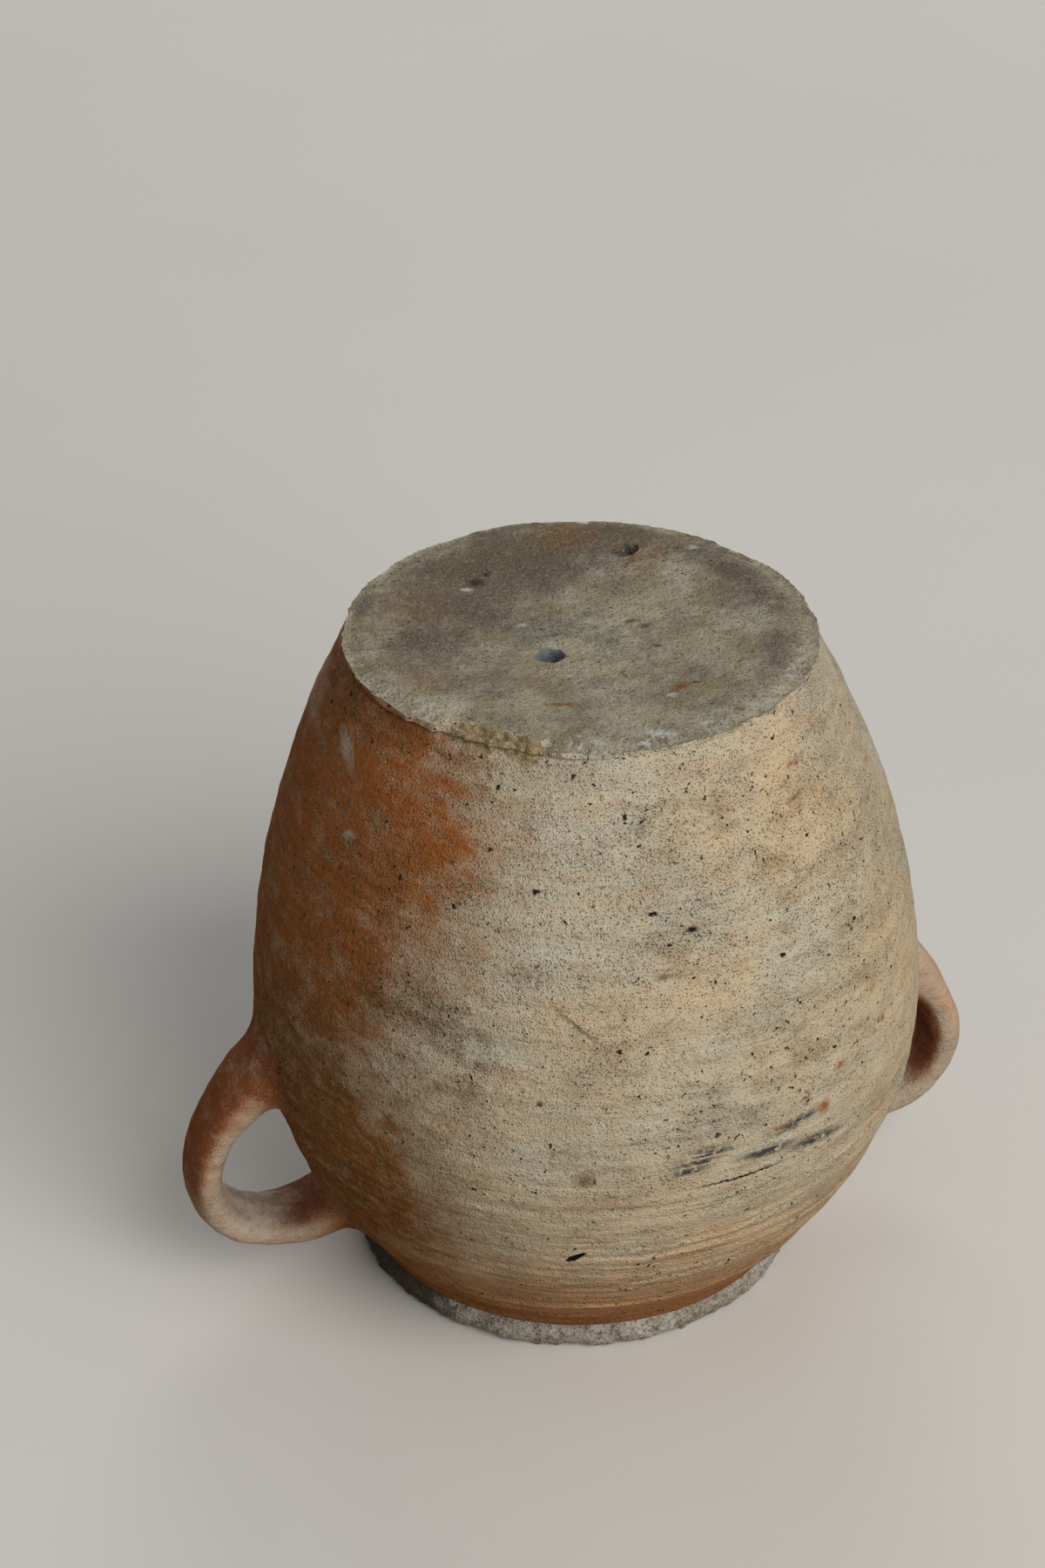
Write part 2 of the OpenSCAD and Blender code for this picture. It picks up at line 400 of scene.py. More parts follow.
shape_points(wall, press_gouge)
print("wall has", len(wall.data.polygons), "faces")

# %% [markdown]
# The base is what the pot stands on when it is upright, so it is a thick disc with a wire-cut lip, a flat
# worn ring and a shallow dish. Its edge has been nibbled by decades of stone floors. The outline is drawn
# fine at the lip, where the nibbles are, and coarse under the floor, where nobody looks.

# %% Base disc
RING_R, DISH_R, DISH_DEEP = 83.8, 71.8, 4
ARRIS = 1.2
dish_sphere = (DISH_R ** 2 + DISH_DEEP ** 2) / (2 * DISH_DEEP)


def dish_height(radius):
    """Height of the base's face, dished inside the standing ring."""
    if radius > DISH_R:
        return POT_H
    return POT_H - DISH_DEEP + dish_sphere - math.sqrt(dish_sphere ** 2 - radius ** 2)


under = [(0, FLOOR_Z), (30, FLOOR_Z), (60, FLOOR_Z)]
side = [(wall_radius(z), z) for z in span(FLOOR_Z, FOOT_Z, 7)]
lip = [(BASE_R, FOOT_Z + 1), (BASE_R, FOOT_Z + 2), (BASE_R, POT_H - ARRIS), (BASE_R - 0.45, POT_H - 0.3)]
face = [(radius, dish_height(radius)) for radius in span(RING_R, 0, 56)]
base = turn("base", under + side + lip + face, steps=576)

CHIPS = [
    # angle, half width in degrees, depth inwards, height down the side
    (-138, 9, 5.0, 9.5), (-126, 6, 5.4, 9), (-119, 4, 3.6, 7), (-148, 6, 3.0, 6), (-160, 7, 1.6, 4),
    (-110, 4, 1.6, 4), (-84, 4, 1.4, 3.5), (-66, 3, 1.8, 4), (-52, 6, 1.6, 4), (-38, 4, 1.4, 3.5),
    (-5, 5, 1.8, 4), (28, 8, 2.2, 5), (75, 9, 1.6, 4), (105, 6, 1.8, 4), (131, 5, 1.8, 4), (157, 7, 1.8, 4)]
ROUND_EDGE = 1.1
PITS = [
    # x, y, radius, depth
    (-23, 49, 8, 1.3), (-28, 44, 4, 0.9), (20, -47, 7, 0.8), (24, -13, 3, 0.8), (-18, 16, 3, 0.5),
    (44, 22, 6, 0.5), (-52, -18, 7, 0.5), (8, 30, 9, 0.5), (-5, -62, 5, 0.5), (50, -28, 5, 0.4)]


def chipped(angle, z):
    """How far the edge has broken away at an angle and a height, in mm."""
    gone = 0
    for chip_angle, wide, deep, tall in CHIPS:
        bite = 1 - smooth(0.6, 1, turn_between(angle, chip_angle) / wide)
        rough = 1 + 0.4 * ring_noise(angle, 22, z / 3 + chip_angle)
        gone = max(gone, deep * bite * rough * max(0, 1 - (POT_H - z) / tall))
    return gone


def nibbled(angle):
    """How far grit has worn the edge back at an angle, in mm."""
    coarse = abs(ring_noise(angle, 24, 0.4))
    fine = abs(ring_noise(angle, 52, 3.1))
    wave = max(0, ring_noise(angle, 7, 9.4) + 0.1)
    return 1.7 * coarse + 1.2 * fine + 1.3 * wave


def face_relief(point):
    """Lumps, wire drags and pits of the base's face."""
    lumps = noise.noise(Vector((point.x / 23, point.y / 23, 4)))
    grit = noise.noise(Vector((point.x / 6, point.y / 6, 8)))
    drag = noise.noise(Vector(((point.x - point.y) / 60, (point.x + point.y) / 7, 2)))
    relief = 0.7 * lumps + 0.22 * grit + 0.3 * drag
    for x, y, size, depth in PITS:
        ragged = 1 + 0.35 * noise.noise(Vector((point.x / 2.5, point.y / 2.5, depth)))
        relief -= depth * (1 - smooth(0.2, 1, math.hypot(point.x - x, point.y - y) * ragged / size))
    return relief


def wear_base(point):
    """Moves a point of the base's side, edge or face as wear has done."""
    radius, angle = point.xy.length, direction(point)
    if point.z < FLOOR_Z + 0.1 and radius < wall_radius(FLOOR_Z) - 1:
        return point + lean(point.z)
    chip = chipped(angle, point.z)
    if point.z < FOOT_Z + 0.1 and radius > DISH_R:
        broken = max(0, chip - (BASE_R - FOOT_R))
        return moved_out(point, wall_relief(angle, point.z) - broken) + lean(point.z)
    at_edge = smooth(BASE_R - 11, BASE_R - 1, radius)
    on_face = smooth(POT_H - 1, POT_H, point.z)
    inward = max(chip, nibbled(angle) * (0.5 + 0.5 * on_face))
    grain = 0.4 * noise.noise(point / 2.2)
    worn = moved_out(point, (grain - inward) * at_edge)
    worn.z += (face_relief(point) - (ROUND_EDGE + 0.4 * inward) * at_edge ** 2) * on_face
    worn.z = min(worn.z, POT_H)
    return worn + lean(point.z)


shape_points(base, wear_base)

# %% [markdown]
# Someone drilled two drain holes to grow plants in the pot. The bit came out ragged: the clay round each
# hole broke away in a shallow funnel. A cutter of that form is turned, roughened, set in place and
# subtracted with a Boolean modifier, which is applied at once. The cut leaves slivers and faces with many
# corners round the hole, so these are dissolved and divided, and the mesh stays closed as triangles too.

# %% Drain holes
DRAINS = [
    # distance from the axis, angle
    (17, 211), (64, 57)]
DRILL_R = 5
SLIVER_MM = 0.01


def drain_cutter(place, number, drill_r):
    """A drill's path through the floor, with a broken mouth."""
    top = dish_height(place.xy.length)
    outline = [(0, FLOOR_Z - 12)]
    outline += [(drill_r, z) for z in span(FLOOR_Z - 12, top - 3, 10)]
    outline += [(drill_r + 0.1, top - 1.2), (drill_r + 0.25, top - 0.5), (drill_r + 0.6, top + 0.2)]
    outline += [(drill_r + 0.9, top + 1), (drill_r + 1.1, top + 3), (0, top + 3)]
    cutter = turn(f"drill_{number}", outline, steps=40)

    def roughen(point):
        ragged = 0.5 * noise.noise(Vector((point.x / 3, point.y / 3, point.z / 4 + 9 * number)))
        return moved_out(point, ragged * (1 + smooth(top - 2, top, point.z))) + place

    shape_points(cutter, roughen)
    return cutter


def drain_place(distance, angle):
    """Where the axis of a drain hole stands."""
    return round_axis(distance, angle) + lean(POT_H)


def clean_cuts(piece):
    """Dissolves the slivers that cutting left in the active piece, and divides its many-sided faces."""
    bpy.ops.object.mode_set(mode="EDIT")
    bpy.ops.mesh.select_mode(type="FACE")
    bpy.ops.mesh.select_all(action="SELECT")
    bpy.ops.mesh.dissolve_degenerate(threshold=SLIVER_MM * MM)
    bpy.ops.mesh.select_face_by_sides(number=4, type="GREATER", extend=False)
    bpy.ops.mesh.quads_convert_to_tris(ngon_method="BEAUTY")
    bpy.ops.object.mode_set(mode="OBJECT")
    print(piece.name, "drilled:", len(piece.data.polygons), "faces")


def drill(piece, drill_r):
    """Cuts both drain holes through a piece."""
    for number, drain in enumerate(DRAINS):
        cutter = drain_cutter(drain_place(*drain), number, drill_r)
        cut = piece.modifiers.new("drain", "BOOLEAN")
        cut.operation = "DIFFERENCE"
        cut.solver = "EXACT"
        cut.object = cutter
        pick(piece)
        bpy.ops.object.modifier_apply(modifier=cut.name)
        bpy.data.objects.remove(cutter)
    clean_cuts(piece)


drill(base, DRILL_R)

# %% [markdown]
# Under the crust of glaze, the rim is a roll of clay below the neck. Only a narrow band of it shows, with
# the crease where the roll meets the neck.

# %% Rolled rim
RIM_R, MOUTH_R = 84.5, 70.5
ROLL_R, LIP_R, CREASE = 6, 4, 0.8
roll_centre = (RIM_R - ROLL_R, ROLL_R)
lip_centre = (MOUTH_R + LIP_R, LIP_R)
crease_angle = math.degrees(math.acos((NECK_R - CREASE - roll_centre[0]) / ROLL_R))


def rim_outline(inset, steps):
    """The rim's surface or a face inset from it: down the inside, round the lip, up the roll."""
    top = (inner_radius(RIM_H, WALL_T + GLAZE_T - inset), RIM_H)
    return [top] + arc(lip_centre, LIP_R - inset, 180, 270, steps) \
        + arc(roll_centre, ROLL_R - inset, -90, crease_angle, 2 * steps)


glaze_edge = arc(roll_centre, ROLL_R, crease_angle, crease_angle, 1)[0]
shoulder = [
    (glaze_edge[0] + (NECK_R - glaze_edge[0]) * share, glaze_edge[1] + (RIM_H - glaze_edge[1]) * share)
    for share in span(0, 1, 4)]
rim_clay = rim_outline(GLAZE_T, 6)
rim = turn("rolled_rim", rim_clay + shoulder + rim_clay[:1])


def throw_rim(point):
    """Lets the band below the neck follow the wall above it."""
    outside = smooth(79, 82, point.xy.length) * smooth(glaze_edge[1] - 1, RIM_H, point.z)
    return moved_out(point, wall_relief(direction(point), RIM_H) * outside) + lean(point.z)


shape_points(rim, throw_rim)

# %% [markdown]
# Glaze once ran over the lip. Damp and rough floors have turned it into a pale, lumpy crust. It is turned
# as a thin band round the roll, and its outer face is pushed in and out by noise of about a millimetre, but
# never in as far as the clay, which stays covered. Nothing goes below the floor.

# %% Crust of glaze on the rim
CRUST_STEPS = 10
crust_out = rim_outline(0, CRUST_STEPS)
crust = turn("rim_crust", crust_out + rim_clay[::-1] + crust_out[:1])


def crust_relief(point):
    """Height of the crust's lumps, in mm."""
    broad = noise.noise(point / 11)
    lumps = noise.noise(point / 4.5 + Vector((3, 0, 0)))
    grit = noise.noise(point / 1.6)
    return max(-0.7, 1.2 * broad + 1.3 * lumps + 0.6 * grit - 0.6)


def crumble_crust(point):
    """Roughens the outer face of the crust and keeps it above the floor."""
    radius = point.xy.length
    away = Vector((radius - roll_centre[0], point.z - roll_centre[1]))
    on_roll = radius > roll_centre[0] and away.length > ROLL_R - GLAZE_T / 2
    on_lip = radius <= roll_centre[0] and point.z < GLAZE_T / 2
    if not (on_roll or on_lip):
        return point + lean(point.z)
    amount = crust_relief(point) * (1 - 0.75 * smooth(8, glaze_edge[1], point.z))
    if on_roll:
        push = away.normalized() * amount
        moved = moved_out(point, push.x)
        moved.z = max(0, point.z + push.y)
    else:
        moved = point.copy()
        moved.z = max(0, 0.5 * amount)
    return moved + lean(point.z)


shape_points(crust, crumble_crust)

# %% [markdown]
# Inside, such pots are lined with a honey glaze so that fat doesn't soak through. It can be seen through
# the mouth when the pot is lifted, and a little through the drain holes, where the drill spalled it away.

# %% Glaze lining
GLAZE_SPALL = 1.5
lining_out = inside_outline(0)
lining_in = inside_outline(GLAZE_T)
centre_line = [(0, FLOOR_Z), (0, FLOOR_Z - GLAZE_T)]
lining = turn("glaze_lining", lining_out + centre_line + lining_in[::-1] + lining_out[:1], steps=144)
shape_points(lining, lambda point: point + lean(point.z))
drill(lining, DRILL_R + GLAZE_SPALL)

# %% [markdown]
# A handle starts as a straight strap, pulled from a lump of wet clay, and is then bent into an ear. Here a
# disc is extruded ring by ring into a straight bar one unit long, and the bar is bent onto the curve of
# the ear. The two ends swell into wads that were smeared onto the wall, so they flare where they meet it.

# %% Ear handles
STRAP_W, STRAP_T, STRAP_SQUARE = 27, 12.5, 2.7
NECK_WAD, BELLY_WAD = (33, 19), (35, 25)
WAD_L = 27
STRAP_BED = 10.4
FILLET = 7
NECK_PULL, BELLY_PULL = Vector((63, -31)), Vector((61, -36))
RIGHT_LIFT, RIGHT_TUCK = Vector((0, 10)), Vector((-3, 0))
neck_root = Vector((wall_radius(HANDLE_NECK_Z) - STRAP_BED, HANDLE_NECK_Z))
belly_root = Vector((wall_radius(HANDLE_BELLY_Z) - STRAP_BED, HANDLE_BELLY_Z))
left_line = neck_root, neck_root + NECK_PULL, belly_root + BELLY_PULL, belly_root
right_line = neck_root, neck_root + NECK_PULL + RIGHT_LIFT, belly_root + BELLY_PULL + RIGHT_TUCK, belly_root


def strap_point(line, t):
    """Middle of the strap at a share t of its line."""
    a, b, c, d = line
    return (1 - t) ** 3 * a + 3 * (1 - t) ** 2 * t * b + 3 * (1 - t) * t ** 2 * c + t ** 3 * d


def strap_way(line, t):
    """Direction in which the strap runs there."""
    a, b, c, d = line
    return ((1 - t) ** 2 * (b - a) + 2 * (1 - t) * t * (c - b) + t ** 2 * (d - c)).normalized()


def wad_shares(line):
    """Shares of the line that the wads at the neck and at the belly take up."""
    a, b, c, d = line
    return WAD_L / (3 * (b - a).length), WAD_L / (3 * (d - c).length)


def strap_size(line, t):
    """Width and thickness of the strap there."""
    neck_share, belly_share = wad_shares(line)
    near_neck = max(0, 1 - t / (2 * neck_share)) ** 2
    near_belly = max(0, 1 - (1 - t) / (2 * belly_share)) ** 1.4
    return [
        strap + near_neck * (neck - strap) + near_belly * (belly - strap)
        for strap, neck, belly in zip((STRAP_W, STRAP_T), NECK_WAD, BELLY_WAD)]


def rounded(x):
    """Squares a circle's edge a little, for a section between an ellipse and a box."""
    return math.copysign(abs(x) ** (2 / STRAP_SQUARE), x)


def straight_bar(name, rings, sides):
    """A closed bar along Z from 0 to 1 with a radius of 1, in metres, extruded ring by ring from a disc."""
    bpy.ops.object.select_all(action="DESELECT")
    bpy.ops.mesh.primitive_circle_add(vertices=sides, radius=1, fill_type="TRIFAN")
    bar = bpy.context.object
    bar.name = name
    bpy.ops.object.mode_set(mode="EDIT")
    bpy.ops.mesh.select_mode(type="FACE")
    bpy.ops.mesh.select_all(action="SELECT")
    for _ in range(rings):
        bpy.ops.mesh.extrude_region_move(TRANSFORM_OT_translate={"value": (0, 0, 1 / rings)})
    bpy.ops.mesh.select_all(action="SELECT")
    bpy.ops.mesh.normals_make_consistent(inside=False)
    bpy.ops.object.mode_set(mode="OBJECT")
    return bar


def store(piece, name, values):
    """Stores one number for every point of a piece as an attribute."""
    piece.data.attributes.new(name, "FLOAT", "POINT").data.foreach_set("value", values)


def flared(point, middle):
    """Spreads the foot of a wad along the wall in a hollow curve, as a thumb smears the clay."""
    gap = (point.xy.length - wall_radius(point.z)) / math.hypot(1, wall_slope(point.z))
    near = min(max(FILLET - gap, 0), FILLET)
    flare = FILLET - math.sqrt(FILLET ** 2 - near ** 2)
    outward = Vector((1, 0, -wall_slope(point.z))).normalized()
    away = point - middle
    away -= outward * away.dot(outward)
    if away.length < SEAM_MM:
        return point
    return point + away.normalized() * flare


def ear_length(name, line, start, end, rings, sign, sides=44):
    """One length of a handle between two shares of its line, on the right (1) or the left (-1)."""
    bar = straight_bar(name, rings, sides)
    store(bar, "along", [start + (end - start) * vertex.co.z for vertex in bar.data.vertices])
    store(bar, "inner", [vertex.co.y for vertex in bar.data.vertices])

    def bend(bar_point):
        unit = bar_point * MM
        t = start + (end - start) * unit.z
        middle, way = strap_point(line, t), strap_way(line, t)
        wide, thick = strap_size(line, t)
        angle = math.atan2(unit.y, unit.x)
        size = min(1, unit.xy.length)
        across = wide / 2 * rounded(math.cos(angle)) * size
        through = thick / 2 * rounded(math.sin(angle)) * size
        point = Vector((middle.x - way.y * through, across, middle.y + way.x * through))
        point = flared(point, Vector((middle.x, 0, middle.y)))
        lumps = 0.7 * noise.noise(point / 16 + Vector((sign * 9, 0, 0))) + 0.3 * noise.noise(point / 5)
        point += Vector((-way.y * math.sin(angle), math.cos(angle), way.x * math.sin(angle))) * lumps * size
        return Vector((sign * point.x, sign * point.y, point.z)) + lean(point.z)

    shape_points(bar, bend)
    print(name, len(bar.data.polygons), "faces")
    return bar


WAD_BED = 0.03
handles = {}
for side_name, sign, line in (("right", 1, right_line), ("left", -1, left_line)):
    neck_share, belly_share = wad_shares(line)
    handles[f"{side_name}_handle"] = ear_length(
        f"{side_name}_strap", line, neck_share, 1 - belly_share, 64, sign)
    handles[f"{side_name}_neck_wad"] = ear_length(
        f"{side_name}_neck_lute", line, WAD_BED, neck_share, 28, sign)
    handles[f"{side_name}_belly_wad"] = ear_length(
        f"{side_name}_belly_lute", line, 1 - belly_share, 1 - WAD_BED, 28, sign)

# %% [markdown]
# Smooth shading hides the facets, but a piece must stay crisp at the edges where it was cut from its
# neighbour. Smoothing by angle does both.

# %% Smooth shading
SHARP = math.radians(50)
pieces = {
    "base_disc": base, "belly_wall": wall, "neck_rim": rim, "rim_glaze": crust, "inner_glaze": lining,
    **handles}
for piece in pieces.values():
    pick(piece)
    bpy.ops.object.shade_smooth_by_angle(angle=SHARP)
print(sum(len(piece.data.polygons) for piece in pieces.values()), "faces in all")

# %% [markdown]
# The kiln flashed one flank orange, damp and dirt greyed patches of the other, and the neck stayed tan.
# Where each of these lies belongs to the surface, so it is stored on the points of the mesh, as if painted
# with a soft brush. The materials then break up the brush's soft edges with noise.

# %% Painting the wall


def brush(point, centre, wide, tall):
    """Strength of one soft dab at a point: 1 in the middle and 0 at its edge."""
    away = point - centre
    if abs(away.z) > tall:
        return 0
    return 1 - smooth(0.2, 1, math.hypot(away.xy.length / wide, away.z / tall))


def dabbed(point, dabs):
    """Paint at a point from some dabs (centre, half width, half height, strength)."""
    return min(1.0, sum(strength * brush(point, *where) for *where, strength in dabs))


def paint(piece, name, dabs):
    """Stores the paint of some dabs as an attribute."""
    store(piece, name, [dabbed(vertex.co / MM, dabs) for vertex in piece.data.vertices])


def wall_dabs(*rows):
    """Dabs on the wall, from rows of angle, height, half width, half height and strength."""
    return [(on_wall(angle, z), *rest) for angle, z, *rest in rows]


DABS = {
    "flash": wall_dabs(
        (-172, 200, 104, 76, 0.9), (-148, 228, 66, 34, 0.5), (-184, 130, 126, 120, 1.0),
        (-164, 238, 50, 16, 0.5), (-152, 252, 50, 10, 0.5), (-184, 250, 66, 18, 0.9),
        (-165, 62, 104, 62, 0.7), (-148, 92, 74, 50, 0.5), (-146, 20, 80, 34, 0.4), (140, 190, 90, 80, 0.5),
        (-6, 120, 40, 60, 0.2), (-60, 232, 44, 24, 0.1), (-134, 212, 44, 46, 0.12),
        (-138, 150, 50, 60, 0.15)),
    "grime": wall_dabs(
        (-130, 155, 28, 24, 0.9), (-90, 197, 22, 14, 0.8), (-80, 141, 46, 30, 0.45), (-88, 238, 36, 14, 0.6),
        (-142, 168, 32, 18, 0.7), (-58, 160, 44, 50, 0.35), (-46, 196, 36, 40, 0.35),
        (-150, 205, 26, 32, 0.6), (-112, 118, 40, 16, 0.4), (-166, 120, 44, 40, 0.7), (-66, 215, 26, 30, 0.5),
        (-100, 165, 26, 18, 0.5), (-165, 251, 44, 10, 0.5), (-138, 247, 32, 9, 0.4), (-184, 250, 50, 14, 0.7),
        (30, 180, 70, 60, 0.6), (95, 120, 60, 50, 0.5), (150, 215, 40, 30, 0.6)),
    "blush": wall_dabs(
        (-62, 232, 80, 46, 1.0), (-36, 150, 84, 90, 0.9), (-84, 84, 110, 44, 0.6), (-102, 168, 46, 20, 0.7),
        (-84, 186, 34, 18, 0.7), (-126, 130, 40, 34, 0.6), (60, 120, 120, 130, 0.7), (160, 60, 80, 60, 0.6))}
for piece in (wall, base, rim):
    for layer, dabs in DABS.items():
        paint(piece, layer, dabs)
    upright = [vertex.co / MM - lean(vertex.co.z / MM) for vertex in piece.data.vertices]
    store(piece, "line", [finger_lines(direction(point), point.z) for point in upright])
# The crust gets painted shade, darkest on its left, where it meets the floor.
paint(crust, "grime", wall_dabs((-174, 8, 70, 24, 1.0), (10, 8, 60, 20, 0.5)))
print("flash, grime, blush and finger lines painted on", wall.name)

# %% [markdown]
# The base's face has its own history: brown stains at the back left, patches of rust, salt along the front
# edge, and ochre clay laid bare where its edge broke away. A darker band runs inside the right edge of the
# dish.

# %% Painting the base
TALL = 40
DARK_BAND_R, SALT_R, EDGE_WIDE = 72, 80, 13


def on_base(x, y):
    """A point on the base's face."""
    return Vector((x, y, POT_H))


def base_dabs(*rows):
    """Dabs on the base's face, from rows of x, y, half width and strength."""
    return [(on_base(x, y), wide, TALL, strength) for x, y, wide, strength in rows]


def edge_dabs(radius, *rows):
    """Dabs in a ring on the base's face, from rows of angle and strength."""
    return [(round_axis(radius, angle, POT_H), EDGE_WIDE, TALL, strength) for angle, strength in rows]


paint(base, "stain", base_dabs(
    (-40, 30, 40, 0.7), (-4, 58, 34, 0.9), (-34, 52, 28, 0.6), (32, 64, 22, 0.6), (-58, 4, 26, 0.6),
    (-48, -24, 22, 0.4), (10, 60, 90, 0.28), (76, 16, 44, 0.28))
    # A darker band inside the right edge of the dish.
    + edge_dabs(DARK_BAND_R, *[(angle, 0.4) for angle in range(-64, 62, 11)]))
paint(base, "rust", base_dabs(
    (16, 74, 22, 0.8), (40, 44, 16, 0.6), (-52, 34, 22, 0.5), (-66, -18, 16, 0.6), (-54, -50, 12, 0.5),
    (66, -48, 10, 0.5)))
paint(base, "salt", edge_dabs(
    SALT_R, (-168, 0.5), (-152, 0.6), (-138, 0.8), (-124, 0.5), (-108, 0.7), (-92, 0.9), (-76, 0.6),
    (-58, 0.5), (-40, 0.5), (-26, 0.5)))
paint(base, "bare", wall_dabs(
    (-135, POT_H - 2, 16, 7, 0.9), (-123, POT_H - 2, 11, 8, 1.0), (-149, POT_H - 1, 9, 4, 0.6),
    (-60, POT_H, 9, 5, 0.6), (131, POT_H, 12, 6, 0.7)))
print("base painted with stain, rust, salt and bare clay")

# %% [markdown]
# The ears were flashed by the kiln in their own way, along the strap and from its inner to its outer face,
# and their inner faces, turned to the wall, get painted shade. Towards a wad, that paint fades into the paint
# of the wall that the wad is smeared onto.

# %% Painting the handles


def left_flash(t, inner):
    """Rust on the left ear: down its outer face from the belly, and at the neck end of its inner face."""
    outer_face = smooth(0.2, -0.7, inner) * smooth(0.42, 0.66, t)
    return max(outer_face, smooth(0.84, 0.96, t), smooth(0.1, 0.8, inner) * smooth(0.26, 0.1, t))


def left_inner_shade(t, inner):
    """Painted shade on the left ear, on the inner face of its lower half, which faces the wall."""
    return 0.8 * smooth(0.2, 0.85, inner) * smooth(0.5, 0.36, t) * smooth(0.02, 0.14, t)


def right_flash(t, inner):
    """Rust on the right ear, along the upper part of its inner face."""
    return smooth(0.2, 0.8, inner) * smooth(0.3, 0.46, t)


def right_inner_shade(t, inner):
    """Painted shade on the right ear, on its inner face towards the wall, deepest in the bend."""
    return 1.2 * smooth(0.4, 0.9, inner) * smooth(0.3, 0.5, t)


def ear_blush(t, inner):
    """Peach on the outer face of both ears, towards the belly."""
    return smooth(0.3, -0.4, inner) * smooth(0.5, 0.7, t)


def rooted(t):
    """Rises from 0 on the strap to 1 where a wad is smeared onto the wall."""
    neck, belly = wad_shares(left_line)
    return max(smooth(1.1 * neck, 0.3 * neck, t), smooth(1 - 1.1 * belly, 1 - 0.35 * belly, t))


for name, piece in handles.items():
    rust, shade_and_grime = (left_flash, left_inner_shade) if name.startswith("left") else (right_flash, right_inner_shade)
    along, inner = [[spot.value for spot in piece.data.attributes[key].data] for key in ("along", "inner")]
    roots = [rooted(t) for t in along]
    store(piece, "root", roots)
    # The second layer is painted shade on the straps' inner faces, and the wall's grime towards the roots.
    for layer, rule in (("flash", rust), ("grime", shade_and_grime), ("blush", ear_blush)):
        store(piece, layer, [
            rule(t, face) * (1 - root) + dabbed(vertex.co / MM, DABS[layer]) * root
            for t, face, root, vertex in zip(along, inner, roots, piece.data.vertices)])
print(len(handles), "lengths of handle painted")

# %% [markdown]
# Every finish here is a node tree, so one small function adds a node, sets its properties and values, and
# links its inputs. Colours are written as sRGB codes, as one picks them, and turned into the linear light
# that a shader works in. Noise gets its scale from a real size in millimetres.

# %% Material helpers


def colour(code):
    """Turns an sRGB code such as #c6b892 into linear red, green, blue and alpha."""
    parts = [int(code[i:i + 2], 16) / 255 for i in (1, 3, 5)]
    return (*[p / 12.92 if p <= 0.04045 else ((p + 0.055) / 1.055) ** 2.4 for p in parts], 1.0)


def per_mm(size):
    """Noise scale whose features are about this many millimetres across."""
    return 1 / (size * MM)


def add(tree, kind, settings, links, *wanted):
    """Adds a shader node and gives its first output, or those wanted by name.

    Keys name a property or a socket, or count a socket that shares its name with others.
    """
    node = tree.nodes.new("ShaderNode" + kind)
    for key, value in settings.items():
        if isinstance(key, str) and key[0].islower():
            setattr(node, key, value)
    usable = [socket for socket in node.inputs if socket.enabled]

    def socket_of(key):
        return usable[key] if isinstance(key, int) else next(s for s in usable if s.name == key)

    for key, value in settings.items():
        if isinstance(key, int) or not key[0].islower():
            socket_of(key).default_value = value
    for key, source in links.items():
        tree.links.new(source, socket_of(key))
    outputs = [node.outputs[name] for name in wanted] or [s for s in node.outputs if s.enabled][:1]
    return outputs if len(outputs) > 1 else outputs[0]


def new_material(name, constants):
    """A material whose shader has its constants set, with its tree, shader and object coordinates."""
    material = bpy.data.materials.new(name)
    material.use_nodes = True
    tree = material.node_tree
    shader = tree.nodes["Principled BSDF"]
    for socket, value in constants.items():
        shader.inputs[socket].default_value = value
    return material, tree, shader, add(tree, "TexCoord", {}, {}, "Object")


print("pale clay is", [round(c, 3) for c in colour("#cbbd9b")])

# %% [markdown]
# A few more helpers keep the trees short. The colour channels of one noise are three unrelated noises, which
# is cheaper than three nodes. Layers of tint go over a ground colour, each through its own mask, as a glaze
# is laid over a body. Weighted sums shift one pattern by another. Heights in millimetres add up to a bump.

# %% Noises, layers and bumps


def three_noises(tree, coords, size, detail, rough):
    """Three unrelated noises with features of one size in mm."""
    mixed = add(tree, "TexNoise", {"Scale": per_mm(size), "Detail": detail, "Roughness": rough},
                {"Vector": coords}, "Color")
    return add(tree, "SeparateColor", {}, {"Color": mixed}, "Red", "Green", "Blue")


def layered(tree, surface, layers):
    """Lays tints over a colour, each through its mask. A colour is a code or a socket.

    A layer is (mask, tint), or (pattern, start, full, most, tint): its mask rises from 0 where the pattern
    has the start value to the most where it has the full value.
    """
    for mask, *ramp, tint in layers:
        if ramp:
            start, full, most = ramp
            mask = add(tree, "MapRange", {"From Min": start, "From Max": full, "To Max": most},
                       {"Value": mask})
        settings, links = {"data_type": "RGBA"}, {"Factor": mask}
        for key, value in (("A", surface), ("B", tint)):
            if isinstance(value, str):
                settings[key] = colour(value)
            else:
                links[key] = value
        surface = add(tree, "Mix", settings, links)
    return surface


def total(tree, start, *terms):
    """Adds up a number and some terms, each a weight and a socket."""
    amount, links = {2: start}, {}
    for weight, source in terms:
        start = add(tree, "Math", {"operation": "MULTIPLY_ADD", 1: weight, **amount}, {0: source, **links})
        amount, links = {}, {2: start}
    return start


def where_all(tree, mask, *others):
    """A mask that is strong only where all of the given ones are."""
    for other in others:
        mask = add(tree, "Math", {"operation": "MULTIPLY"}, {0: mask, 1: other})
    return mask


def bumped(tree, shader, *heights):
    """Adds up heights, each given as (millimetres, socket), and feeds them to the shader as a bump."""
    bump = add(tree, "Bump", {"Distance": MM}, {"Height": total(tree, 0, *heights)})
    tree.links.new(bump, shader.inputs["Normal"])


